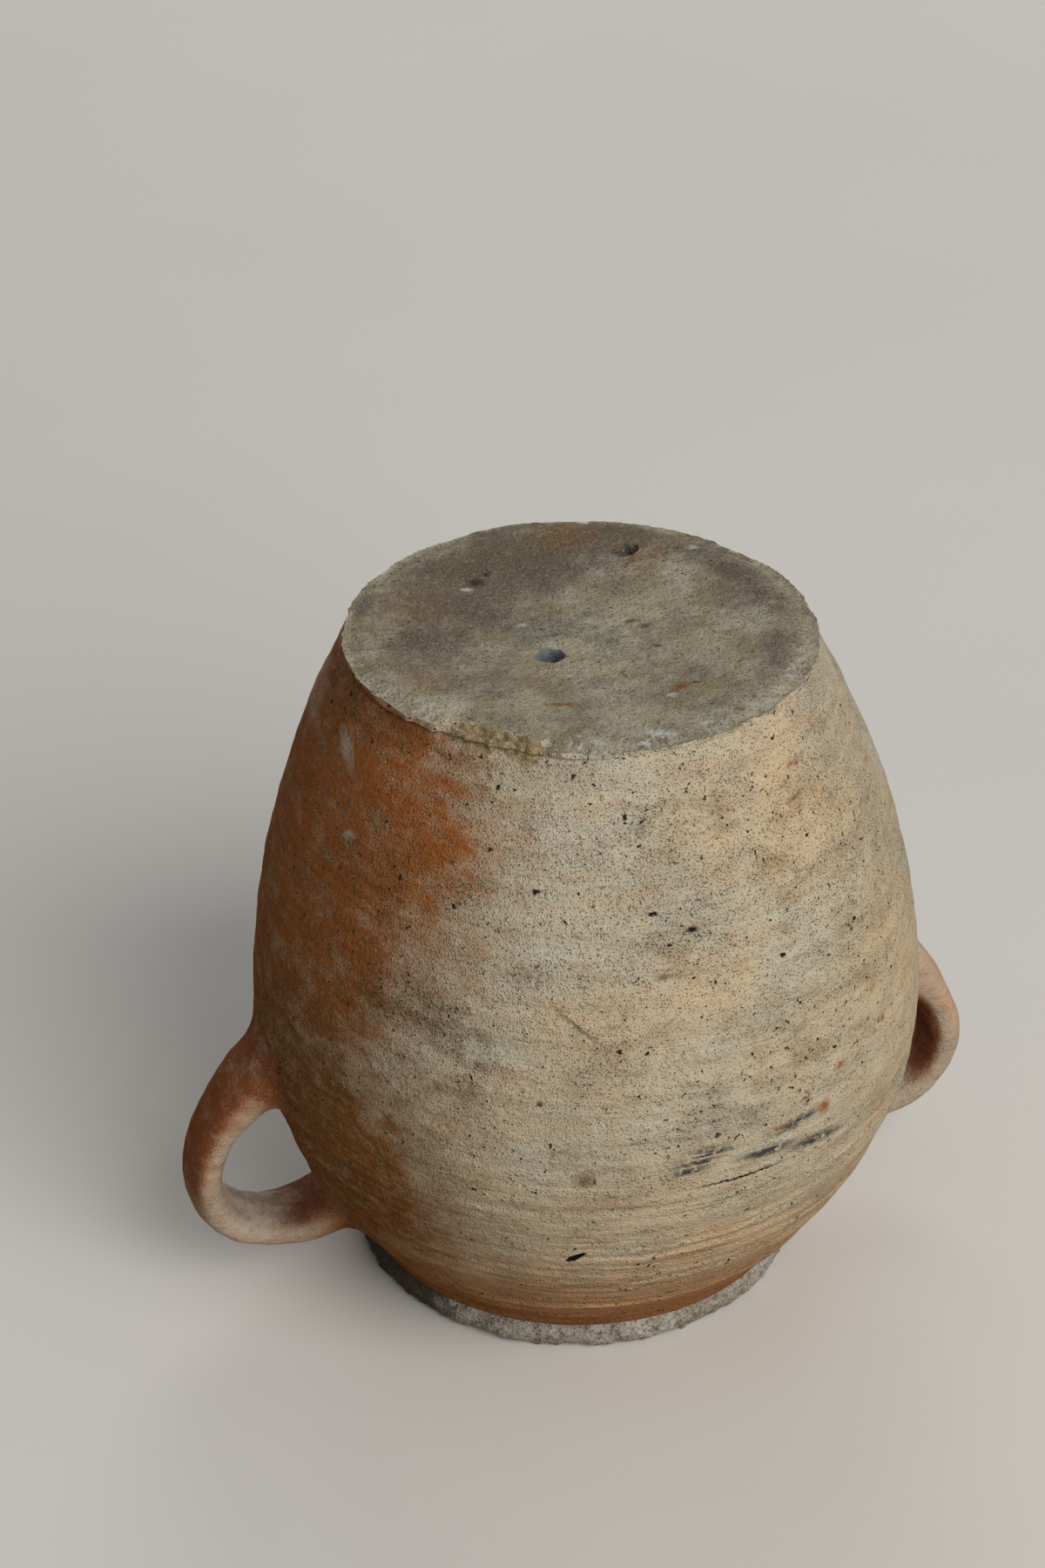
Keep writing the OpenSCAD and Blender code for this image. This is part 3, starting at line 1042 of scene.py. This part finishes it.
def shaken(tree, coords, size, reach):
    """Coordinates that wander by up to half a reach in mm, for ragged edges."""
    wander = add(tree, "TexNoise", {"Scale": per_mm(size), "Detail": 3.0}, {"Vector": coords}, "Color")
    most = Vector((reach, reach, reach)) * MM
    offset = add(tree, "VectorMath", {"operation": "MULTIPLY_ADD", 1: most, 2: -0.5 * most}, {0: wander})
    return add(tree, "VectorMath", {"operation": "ADD"}, {0: coords, 1: offset})


print("grains of 0.6 mm need a noise scale of", round(per_mm(0.6)))

# %% [markdown]
# Single marks are drawn by the material itself, because they are finer than the mesh. A Mapping node of the
# texture kind moves, turns and scales the coordinates so that the mark becomes a unit ball at the origin.
# The distance from the origin is then the mark's mask. Slightly shaken coordinates give it a ragged edge.

# %% Marks
MARK_DEEP = 7
SOOT_STROKES = [
    # angle, height, length, width, tilt
    (-88.6, 116.7, 28, 7, 2), (-92.1, 109.9, 22, 8, 9), (-77.8, 110.4, 34, 7, -2), (-66.8, 105.9, 40, 7, -6),
    (-72, 118, 34, 6, 4), (-90.5, 113.5, 22, 7, 5)]
WALL_MARKS = [
    # softness, colour and such rows: brown stains, rust, pale scuffs and black pits
    (0.1, "#7a684c", [
        (-108.8, 110.6, 11, 9), (-88.9, 36.1, 8, 2.2, 2), (-110.3, 170.2, 27, 2.2, -40),
        (-60, 230, 12, 2.6, 10), (-95, 185.5, 10, 3)]),
    (0.1, "#a5602f", [
        (-75.4, 118.6, 8, 2.2, -3), (-70.1, 126.3, 8, 2.6, 8), (-66, 118.5, 9, 7, 60), (-49, 136, 5, 4),
        (-62, 132, 7, 4, 20), (-132, 224.5, 16, 4, -29), (-131, 216, 10, 4, -40), (-140, 243, 30, 7, -8),
        (-58, 240, 9, 2, 5)]),
    (0.0, "#c9b6a4", [
        (-169.9, 236.7, 24, 8, -33), (-35.1, 227.3, 10, 5, -64), (-161, 213, 9, 5, 20), (-145, 120, 6.5, 5),
        (-95, 189, 8, 3)]),
    (0.5, "#1f1b18", [
        (-82.4, 102.2, 44, 1.5, 0), (-117.8, 214.8, 4.2, 2.6, 20), (-127, 100.9, 2.8, 2.2),
        (-127.3, 245.7, 2.2, 2.8), (-99.9, 238.4, 2.2, 2.2), (-96.1, 207.3, 4.6, 1.8, -6), (-89, 200, 5, 2.6),
        (-72, 183, 4, 2)])]
GOUGE_MARK = GOUGE_ANGLE, GOUGE_Z, 9.4, 3.0, GOUGE_TILT


def mark_mask(tree, coords, places, edge):
    """One mask for several marks, each given as (centre, axes, half sizes) in mm."""
    mask = None
    for centre, axes, sizes in places:
        turned = Matrix([[axis[row] for axis in axes] for row in range(3)]).to_euler()
        local = add(tree, "Mapping", {
            "vector_type": "TEXTURE", "Location": centre * MM, "Rotation": turned,
            "Scale": Vector(sizes) * MM}, {"Vector": coords})
        reach = add(tree, "VectorMath", {"operation": "LENGTH"}, {0: local}, "Value")
        spot = add(tree, "MapRange", {"From Min": 1.0, "From Max": edge}, {"Value": reach})
        mask = spot if mask is None else add(tree, "Math", {"operation": "MAXIMUM"}, {0: mask, 1: spot})
    return mask


def wall_mark(angle, z, length, width, tilt=0):
    """A mark on the wall, with its length and width in mm."""
    return on_wall(angle, z) + lean(z), surface_axes(angle, z, tilt), (length / 2, width / 2, MARK_DEEP)


print(len(SOOT_STROKES) + sum(len(rows) for _, _, rows in WALL_MARKS), "single marks on the wall")

# %% [markdown]
# Low-fired earthenware, thrown from gritty clay and left unglazed: dry, with almost no shine, greenish grey
# where salts came out and peach where they didn't. All that its layers read is made once and kept by name:
# clouds and blotches a little wider than tall, grains, the long lines of the wheel, and paint.

# %% Patterns of the clay
DRY_CLAY = {"Roughness": 0.9, "IOR": 1.45, "Specular IOR Level": 0.3}


def clay_patterns(tree, coords, *more_paint):
    """Noises, paint and the height in metres, as sockets with names."""
    drawn, level = [
        add(tree, "Mapping", {"Scale": Vector((across, across, 1.0))}, {"Vector": coords})
        for across in (0.6, 0.05)]
    sockets = {"height": add(tree, "SeparateXYZ", {}, {"Vector": coords}, "Z")}
    for names, place, size, detail, rough in (
            ("clouds warm cool", drawn, 24, 4.0, 0.64), ("blotch patch lump", drawn, 8, 5.0, 0.72),
            ("coarse grain", coords, 2.4, 2.0, 0.6), ("fine pale dither", coords, 0.6, 1.0, 0.5),
            ("lines hair", level, 2.2, 3.0, 0.66)):
        sockets.update(zip(names.split(), three_noises(tree, place, size, detail, rough)))
    for name in ("blush", "line", "flash", "grime", *more_paint):
        sockets[name] = add(tree, "Attribute", {"attribute_name": name}, {}, "Fac")
    return SimpleNamespace(**sockets)


print("dry clay has a roughness of", DRY_CLAY["Roughness"])

# %% [markdown]
# Near the rim the clay is tan, with thin brown lines and a painted highlight on the crests of the finger
# lines. Towards the crease it turns browner, partly the clay's own colour and partly painted shade in the
# crease. The flash of the kiln is orange above and browner below. Grain dithers it into the buff clay, tan
# grains lie in it, and it is worn grey in patches.

# %% Neck and flash
# heights in metres where each starts and where it is full
TAN_Z, THIN_LINES_Z, CREASE_BROWN_AND_SHADE_Z = (0.078, 0.026), (0.13, 0.05), (0.036, 0.012)


def neck_layers(tree, clay):
    """Tan of the neck, a painted highlight on its crests, thin lines, and brown with painted shade towards
    the crease.
    """
    low, lower, crease_brown_and_shade, crest_highlight, thin = [
        add(tree, "MapRange", {"From Min": start, "From Max": full, "To Max": most}, {"Value": pattern})
        for pattern, start, full, most in (
            (clay.height, *TAN_Z, 1.0), (clay.height, *THIN_LINES_Z, 1.0), (clay.height, *CREASE_BROWN_AND_SHADE_Z, 1.0),
            (clay.line, 0.25, 1.0, 0.7), (clay.hair, 0.55, 0.62, 0.6))]
    wavy = total(tree, -0.55, (1.1, clay.lines))
    low = add(tree, "Math", {"operation": "ADD", "use_clamp": True}, {0: low, 1: wavy})
    crest_highlight = where_all(tree, crest_highlight, low)
    thin = where_all(tree, thin, lower)
    # The crests get a painted highlight, and the crease is brown with painted shade.
    return [(low, "#cb9d70"), (crest_highlight, "#d6bb97"), (thin, "#9b6f48"), (crease_brown_and_shade, "#96623c")]


def flash_layer(tree, clay, tints):
    """The flash as one layer, from tints for above, below, grains and wear. Gives its worn patches too."""
    above, below, grains, wear = tints
    flash = total(tree, -1.35, (1.0, clay.flash), (1.8, clay.blotch), (0.9, clay.dither))
    worn = add(tree, "MapRange", {"From Min": 0.58, "From Max": 0.68, "To Max": 0.8},
               {"Value": total(tree, -0.25, (0.5, clay.coarse), (1.0, clay.patch))})
    browner = add(tree, "MapRange", {"From Min": 0.2, "From Max": 0.12}, {"Value": clay.height})
    browner = total(tree, -0.45, (0.9, clay.blotch), (1.0, browner))
    orange = layered(tree, above, [
        (browner, 0.0, 1.0, 1.0, below), (clay.grain, 0.5, 0.66, 0.6, grains), (worn, wear)])
    return (flash, 0.02, 1.0, 1.0, orange), worn


print("the neck is tan below", TAN_Z[0], "m")

# %% [markdown]
# Grit shows as fine dark specks and a few open pores. Both crowd where grime has settled in a grey-brown
# film, and there is less grit towards the neck. On the handles the same film is painted shade on their inner
# faces. The straps were pulled and smoothed, so they show less.

# %% Grime and painted shade, grit and pores
GRIT_MOST, STRAP_GRIT = 0.76, 0.25


def grime_layers(tree, clay, shade_and_grime, whole_wall):
    """Film of grime and painted shade, grit and pores. Gives the pores too."""
    patchy = add(tree, "MapRange", {"From Min": 0.4, "From Max": 0.6}, {"Value": clay.blotch})
    grime = where_all(tree, clay.grime, patchy)
    rarer = add(tree, "MapRange", {"From Min": 0.08, "From Max": 0.19, "To Min": -0.06, "To Max": 0.0},
                {"Value": clay.height})
    crowd = total(tree, 0, (1.0, clay.fine), (0.07, grime), (0.2, clay.cool), (1.0, rarer))
    wide_crowd = total(tree, 0, (1.0, clay.coarse), (0.09, grime))
    grit, pores = [
        add(tree, "MapRange", {"From Min": start, "From Max": full, "To Max": most}, {"Value": pattern})
        for pattern, start, full, most in ((crowd, 0.685, 0.745, GRIT_MOST), (wide_crowd, 0.685, 0.72, 1.0))]
    if not whole_wall:
        spread = add(tree, "MapRange", {"To Min": STRAP_GRIT}, {"Value": clay.root})
        grit, pores = [where_all(tree, mask, spread) for mask in (grit, pores)]
    # The film is the wall's grime, and painted shade on the inner faces of the handles.
    return [(total(tree, 0, (0.5, grime)), shade_and_grime), (grit, "#453d30"), (pores, "#2c2720")], pores


print("the straps show", STRAP_GRIT, "of the grit of the wall")

# %% [markdown]
# Black spots of iron burst out in clusters. At the belly, soot was brushed on dry in streaks, and at the
# base's edge the broken clay is ochre. The single marks come last, over everything else.

# %% Spots and strokes
SPOT_CELL = 10


def mark_layers(tree, clay, coords):
    """Spots, soot, broken clay and the single marks of the wall."""
    ragged = shaken(tree, coords, 1.7, 2.6)
    distance, cell = add(tree, "TexVoronoi", {"Scale": per_mm(SPOT_CELL)}, {"Vector": ragged},
                         "Distance", "Color")
    chance = add(tree, "SeparateColor", {}, {"Color": cell}, "Red")
    near, picked, clustered, streaky, dusty = [
        add(tree, "MapRange", {"From Min": start, "From Max": full}, {"Value": pattern})
        for pattern, start, full in (
            (distance, 0.12, 0.08), (chance, 0.68, 0.72), (clay.cool, 0.44, 0.56), (clay.hair, 0.36, 0.48),
            (clay.grain, 0.3, 0.48))]
    soot = mark_mask(tree, ragged, [wall_mark(*row) for row in SOOT_STROKES], 0.3)
    broken = total(tree, -0.45, (1.0, clay.bare), (0.9, clay.blotch))
    fresh = layered(tree, "#8f7a56", [(clay.coarse, 0.4, 0.6, 1.0, "#b9a47e")])
    layers = [
        (where_all(tree, near, picked, clustered), "#22231f"),
        (where_all(tree, soot, streaky, dusty), "#46474a"), (broken, 0.25, 0.45, 1.0, fresh)]
    for edge, tint, rows in WALL_MARKS:
        layers.append((mark_mask(tree, ragged, [wall_mark(*row) for row in rows], edge), tint))
    return layers + [(mark_mask(tree, coords, [wall_mark(*GOUGE_MARK)], 0.85), "#14110f")]


print("each", SPOT_CELL, "mm of clay holds one iron spot at most")

# %% [markdown]
# The same tree makes the wall and the flashed clay of the handles, with other colours. A handle's roots take
# on the body of the wall. The finger lines get painted shade in their valleys, and the fine wheel lines are
# darker in their grooves. The clay is evenly rough.

# %% Earthenware
BUFF = "#d2ccb6", "#cabda1"


def earthenware(name, body, peach, flashed, shade_and_grime, whole_wall):
    """Bare fired clay of the wall, or of the handles, which are smoother and blend into it at their roots."""
    material, tree, shader, coords = new_material(name, DRY_CLAY)
    clay = clay_patterns(tree, coords, "bare" if whole_wall else "root")
    cloudy = clay.clouds, 0.36, 0.64, 1.0
    surface = layered(tree, body[0], [(*cloudy, body[1])])
    if not whole_wall:
        surface = layered(tree, surface, [(clay.root, layered(tree, BUFF[0], [(*cloudy, BUFF[1])]))])
    warmth = total(tree, 0, (1.0, clay.warm), (0.3, clay.blush))
    surface = layered(tree, surface, [
        (warmth, 0.48, 0.84, 0.9, peach), (clay.cool, 0.5, 0.7, 0.5, "#a69f8b"),
        (clay.pale, 0.58, 0.7, 0.4, "#d8d2c4")])
    neck = neck_layers(tree, clay)
    if not whole_wall:
        neck = [(where_all(tree, mask, clay.root), tint) for mask, tint in neck]
    flash, worn = flash_layer(tree, clay, flashed)
    grime, pores = grime_layers(tree, clay, shade_and_grime, whole_wall)
    surface = layered(tree, surface, [*neck, flash, *grime])
    if whole_wall:
        surface = layered(tree, surface, mark_layers(tree, clay, coords))
    # Painted shade in the valleys of the finger lines, and darker grooves along the wheel lines.
    for pattern, start, full, least in ((clay.line, -0.9, 0.0, 0.8), (clay.lines, 0.36, 0.5, 0.88)):
        shade = add(tree, "MapRange", {"From Min": start, "From Max": full, "To Min": least},
                    {"Value": pattern})
        surface = add(tree, "Mix", {"data_type": "RGBA", "blend_type": "MULTIPLY", "Factor": 1.0},
                      {"A": surface, "B": shade})
    tree.links.new(surface, shader.inputs["Base Color"])
    rough = 1.0 if whole_wall else 0.6
    bumped(tree, shader, (0.4, clay.lines), (1.2 * rough, clay.blotch), (0.6, clay.lump),
           (0.6 * rough, clay.coarse), (0.45 * rough, clay.fine), (0.4 * rough, worn), (-0.5, pores))
    return material


buff_clay = earthenware(
    "buff_earthenware", BUFF, "#dcc49f", ("#ad642c", "#88551f", "#a67f48", "#9a8a68"), "#6f6445", True)
# The handles' dark film colour, #4c3c37, is the painted shade of their inner faces.
flashed_clay = earthenware(
    "flashed_earthenware", ("#c8b9a5", "#b39f87"), "#d0a88b", ("#9c5229", "#8c4e28", "#9c6236", "#8a6849"),
    "#4c3c37", False)
print("clays made:", buff_clay.name, "and", flashed_clay.name)

# %% [markdown]
# The base stood on damp stone for years. Its clay is a warm grey-olive with brown and grey stains, darker in
# its pores, rusty in patches and salty at the front edge. The drilled holes are grey inside.

# %% Weathered base
DRILL_GREY = 60, 17  # how far each hole is grey from its inner end, in mm
BASE_MARK_DEEP, BASE_MARK_EDGE = 9, 0.2
BASE_MARKS = [
    # colour, and rows of x, y, half length, half width and turn: rust, pebbles and dark pits
    ("#8c5930", [(20, -46, 7.5, 3.4, 28), (-23, -45, 8, 1.8, -18)]),
    ("#c8c6bc", [
        (15, -51, 3, 2.2), (-18, 15, 2.4, 2), (-51, -59, 5, 2, -18), (1, -76, 7, 2.4, -18), (58, 46, 3, 2.4),
        (-30, 43, 3, 1.8, -18)]),
    ("#302d28", [
        (23, -14, 3, 1.7), (24, 1, 3.6, 2.4), (20, 6, 3.4, 2, -18), (-25, 47, 5, 3.4), (-20, 52, 3, 2.4, -18),
        (26, -45, 3.2, 1), (5, -28, 2, 1)])]


def base_axes(turn_by):
    """Along, across and upward directions of a mark on the base's face."""
    return round_axis(1, turn_by), round_axis(1, turn_by + 90), Vector((0, 0, 1))


def base_mark(x, y, length, width, turn_by=0):
    """A mark on the base's face, with half its length and width in mm."""
    return on_base(x, y), base_axes(turn_by), (length, width, BASE_MARK_DEEP)


def weathered_clay(name):
    """Grey-olive worn clay of the base's face."""
    material, tree, shader, coords = new_material(name, {**DRY_CLAY, "Roughness": 0.92})
    dragged = add(tree, "Mapping", {"Rotation": Vector((0, 0, 0.3)), "Scale": Vector((0.45, 1.0, 1.0))},
                  {"Vector": coords})
    drag = add(tree, "TexNoise", {"Scale": per_mm(4), "Detail": 4.0, "Roughness": 0.7}, {"Vector": dragged})
    clouds, warm, cool = three_noises(tree, coords, 22, 5.0, 0.68)
    blotch, patch, _ = three_noises(tree, coords, 6, 5.0, 0.72)
    coarse, grain, crumb = three_noises(tree, coords, 2.2, 2.0, 0.6)
    fine, pale, _ = three_noises(tree, coords, 0.9, 1.0, 0.5)

    # brown stains, rust and salt where they are painted, with wandering edges
    painted = []
    for layer, most in (("stain", 0.75), ("rust", 0.8), ("salt", 0.9)):
        mask = add(tree, "Attribute", {"attribute_name": layer}, {}, "Fac")
        shifted = total(tree, -0.7, (1.4, patch), (1.0, mask))
        painted.append(where_all(tree, *[
            add(tree, "MapRange", {"From Min": start, "From Max": full, "To Max": top}, {"Value": pattern})
            for pattern, start, full, top in ((shifted, 0.15, 0.85, most), (mask, 0.02, 0.3, 1.0))]))
    stain, rust, salt = painted
    salty, pores = [
        add(tree, "MapRange", {"From Min": start, "From Max": full, "To Max": most}, {"Value": pattern})
        for pattern, start, full, most in ((grain, 0.5, 0.6, 1.0), (coarse, 0.68, 0.72, 0.75))]

    ragged = shaken(tree, coords, 2.0, 3.4)
    marks = [
        (mark_mask(tree, ragged, [base_mark(*row) for row in rows], BASE_MARK_EDGE), tint)
        for tint, rows in BASE_MARKS]
    drilled = mark_mask(tree, coords, [
        (drain_place(*drain) + Vector((0, 0, FLOOR_Z)), base_axes(0), (DRILL_R + 0.7, DRILL_R + 0.7, grey))
        for drain, grey in zip(DRAINS, DRILL_GREY)], 0.93)
    surface = layered(tree, "#c6bda3", [
        (clouds, 0.36, 0.64, 1.0, "#b0a58b"), (warm, 0.46, 0.62, 0.7, "#94825d"),
        (cool, 0.5, 0.64, 0.65, "#7f7a70"), (drag, 0.44, 0.66, 0.36, "#7b7058"), (stain, "#615040"),
        (rust, "#835f3a"), (pale, 0.58, 0.7, 0.4, "#bfb8a6"), (fine, 0.57, 0.67, 0.55, "#443c31"),
        (pores, "#302b25"), (crumb, 0.72, 0.76, 0.7, "#bcb9ae"), (where_all(tree, salt, salty), "#c6c5bd"),
        *marks, (drilled, "#7a7f81")])
    tree.links.new(surface, shader.inputs["Base Color"])
    bumped(tree, shader, (2.2, blotch), (0.4, drag), (1.0, coarse), (0.5, fine), (-0.9, pores))
    return material


base_clay = weathered_clay("weathered_base")
print(sum(len(rows) for _, rows in BASE_MARKS), "single marks on the base")

# %% [markdown]
# The crust on the rim was once a lead glaze. What is left is grey, gritty and mostly dull, with a few glossy
# patches, pale specks painted as glints, and painted shade that darkens it on the left, where it meets the
# floor. The lining inside is the same kind of glaze in good order: honey-brown, glossy, with the fine network
# of cracks that a glaze gets when it shrinks more than its clay.

# %% Glazes


def worn_glaze(name):
    """Weathered glaze: grey-white, stained, satin only in patches, with pale specks painted as glints and
    painted shade.
    """
    material, tree, shader, coords = new_material(name, {"IOR": 1.5})
    clouds, warm, _ = three_noises(tree, coords, 14, 4.0, 0.65)
    blotch, patch, crumb = three_noises(tree, coords, 3, 4.0, 0.7)
    fine, pale, _ = three_noises(tree, coords, 0.8, 1.0, 0.5)
    # Painted shade on the crust, darkest on its left, broken up by blotches.
    grime = add(tree, "Attribute", {"attribute_name": "grime"}, {}, "Fac")
    shade_and_grime = total(tree, 0, (1.0, grime), (1.0, blotch))
    # Among these layers the pale specks are painted glints, and the last one is the painted shade.
    surface = layered(tree, "#c4bfb6", [
        (clouds, 0.38, 0.62, 1.0, "#99907f"), (warm, 0.48, 0.66, 0.6, "#8d7a60"),
        (patch, 0.52, 0.62, 0.85, "#5c5040"), (crumb, 0.58, 0.66, 0.7, "#77703f"),
        (pale, 0.57, 0.68, 0.6, "#d2cec6"), (fine, 0.56, 0.68, 0.7, "#3f382f"),
        (shade_and_grime, 0.7, 1.2, 0.9, "#352b22")])
    tree.links.new(surface, shader.inputs["Base Color"])
    gloss = add(tree, "MapRange", {"From Min": 0.35, "From Max": 0.6, "To Min": 0.3, "To Max": 0.8},
                {"Value": clouds})
    tree.links.new(gloss, shader.inputs["Roughness"])
    bumped(tree, shader, (1.0, blotch), (0.5, patch), (0.35, fine))
    return material


def honey_glaze(name):
    """Glossy amber glaze with a network of fine cracks."""
    material, tree, shader, coords = new_material(name, {"IOR": 1.52})
    runs = add(tree, "TexNoise", {"Scale": per_mm(30), "Detail": 4.0}, {"Vector": coords})
    cells = add(tree, "TexVoronoi", {"feature": "DISTANCE_TO_EDGE", "Scale": per_mm(6)}, {"Vector": coords})
    cracks = add(tree, "MapRange", {"From Min": 0.05, "From Max": 0.0, "To Max": 0.7}, {"Value": cells})
    surface = layered(tree, "#a06a2a", [(runs, "#6e4216"), (cracks, "#3a2412")])
    tree.links.new(surface, shader.inputs["Base Color"])
    gloss = add(tree, "MapRange", {"To Min": 0.12, "To Max": 0.34}, {"Value": runs})
    tree.links.new(gloss, shader.inputs["Roughness"])
    bumped(tree, shader, (0.5, runs), (-0.1, cracks))
    return material


crust_glaze = worn_glaze("worn_glaze")
lining_glaze = honey_glaze("honey_glaze")
print("glazes made:", crust_glaze.name, "and", lining_glaze.name)

# %% [markdown]
# Each piece now gets its finish, stands for its CAD node and rides on the pot's one body. The base shows two
# clays: its face is weathered, but its side belongs to the wall, so those faces get the wall's clay.

# %% Dress the pieces
SIDE_WIDE, SIDE_STEEP = 8, 0.8
finishes = {
    "base_disc": (base_clay, "weathered_base"), "belly_wall": (buff_clay, "buff_earthenware"),
    "neck_rim": (buff_clay, "flashed_earthenware"), "rim_glaze": (crust_glaze, "worn_glaze"),
    "inner_glaze": (lining_glaze, "honey_glaze")}
for node, piece in pieces.items():
    material, slot = finishes.get(node, (flashed_clay, "flashed_earthenware"))
    piece.data.materials.clear()
    piece.data.materials.append(material)
    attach(piece, "root")
    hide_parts(node)

base.data.materials.append(buff_clay)
for polygon in base.data.polygons:
    on_side = (polygon.center / MM).xy.length > RING_R - SIDE_WIDE and polygon.normal.z < SIDE_STEEP
    polygon.material_index = 1 if on_side else 0
print(len(pieces), "pieces dressed")

# %% [markdown]
# A plain pale floor catches the pot's soft shadow. It is a little uneven in tone, like limewashed plaster,
# and has no pattern that would draw the eye. So pale a floor would throw too much light back up at the pot,
# so it is pale only where the camera sees it, and darker to the light that bounces off it.

# %% Floor
FLOOR_SIDE, CLOUDS_PER_M = 14, 3.0
bpy.ops.object.select_all(action="DESELECT")
bpy.ops.mesh.primitive_plane_add(size=FLOOR_SIDE)
floor = bpy.context.object
floor.name = "floor"
plaster, tree, shader, coords = new_material("pale_plaster", {"Roughness": 0.8})
tone = add(tree, "TexNoise", {"Scale": CLOUDS_PER_M, "Detail": 3.0}, {"Vector": coords})
seen = add(tree, "LightPath", {}, {}, "Is Camera Ray")
tone = layered(tree, "#a48f72", [(seen, layered(tree, "#f0ede6", [(tone, "#e9e5dd")]))])
tree.links.new(tone, shader.inputs["Base Color"])
floor.data.materials.append(plaster)
print("floor is", FLOOR_SIDE, "m wide")
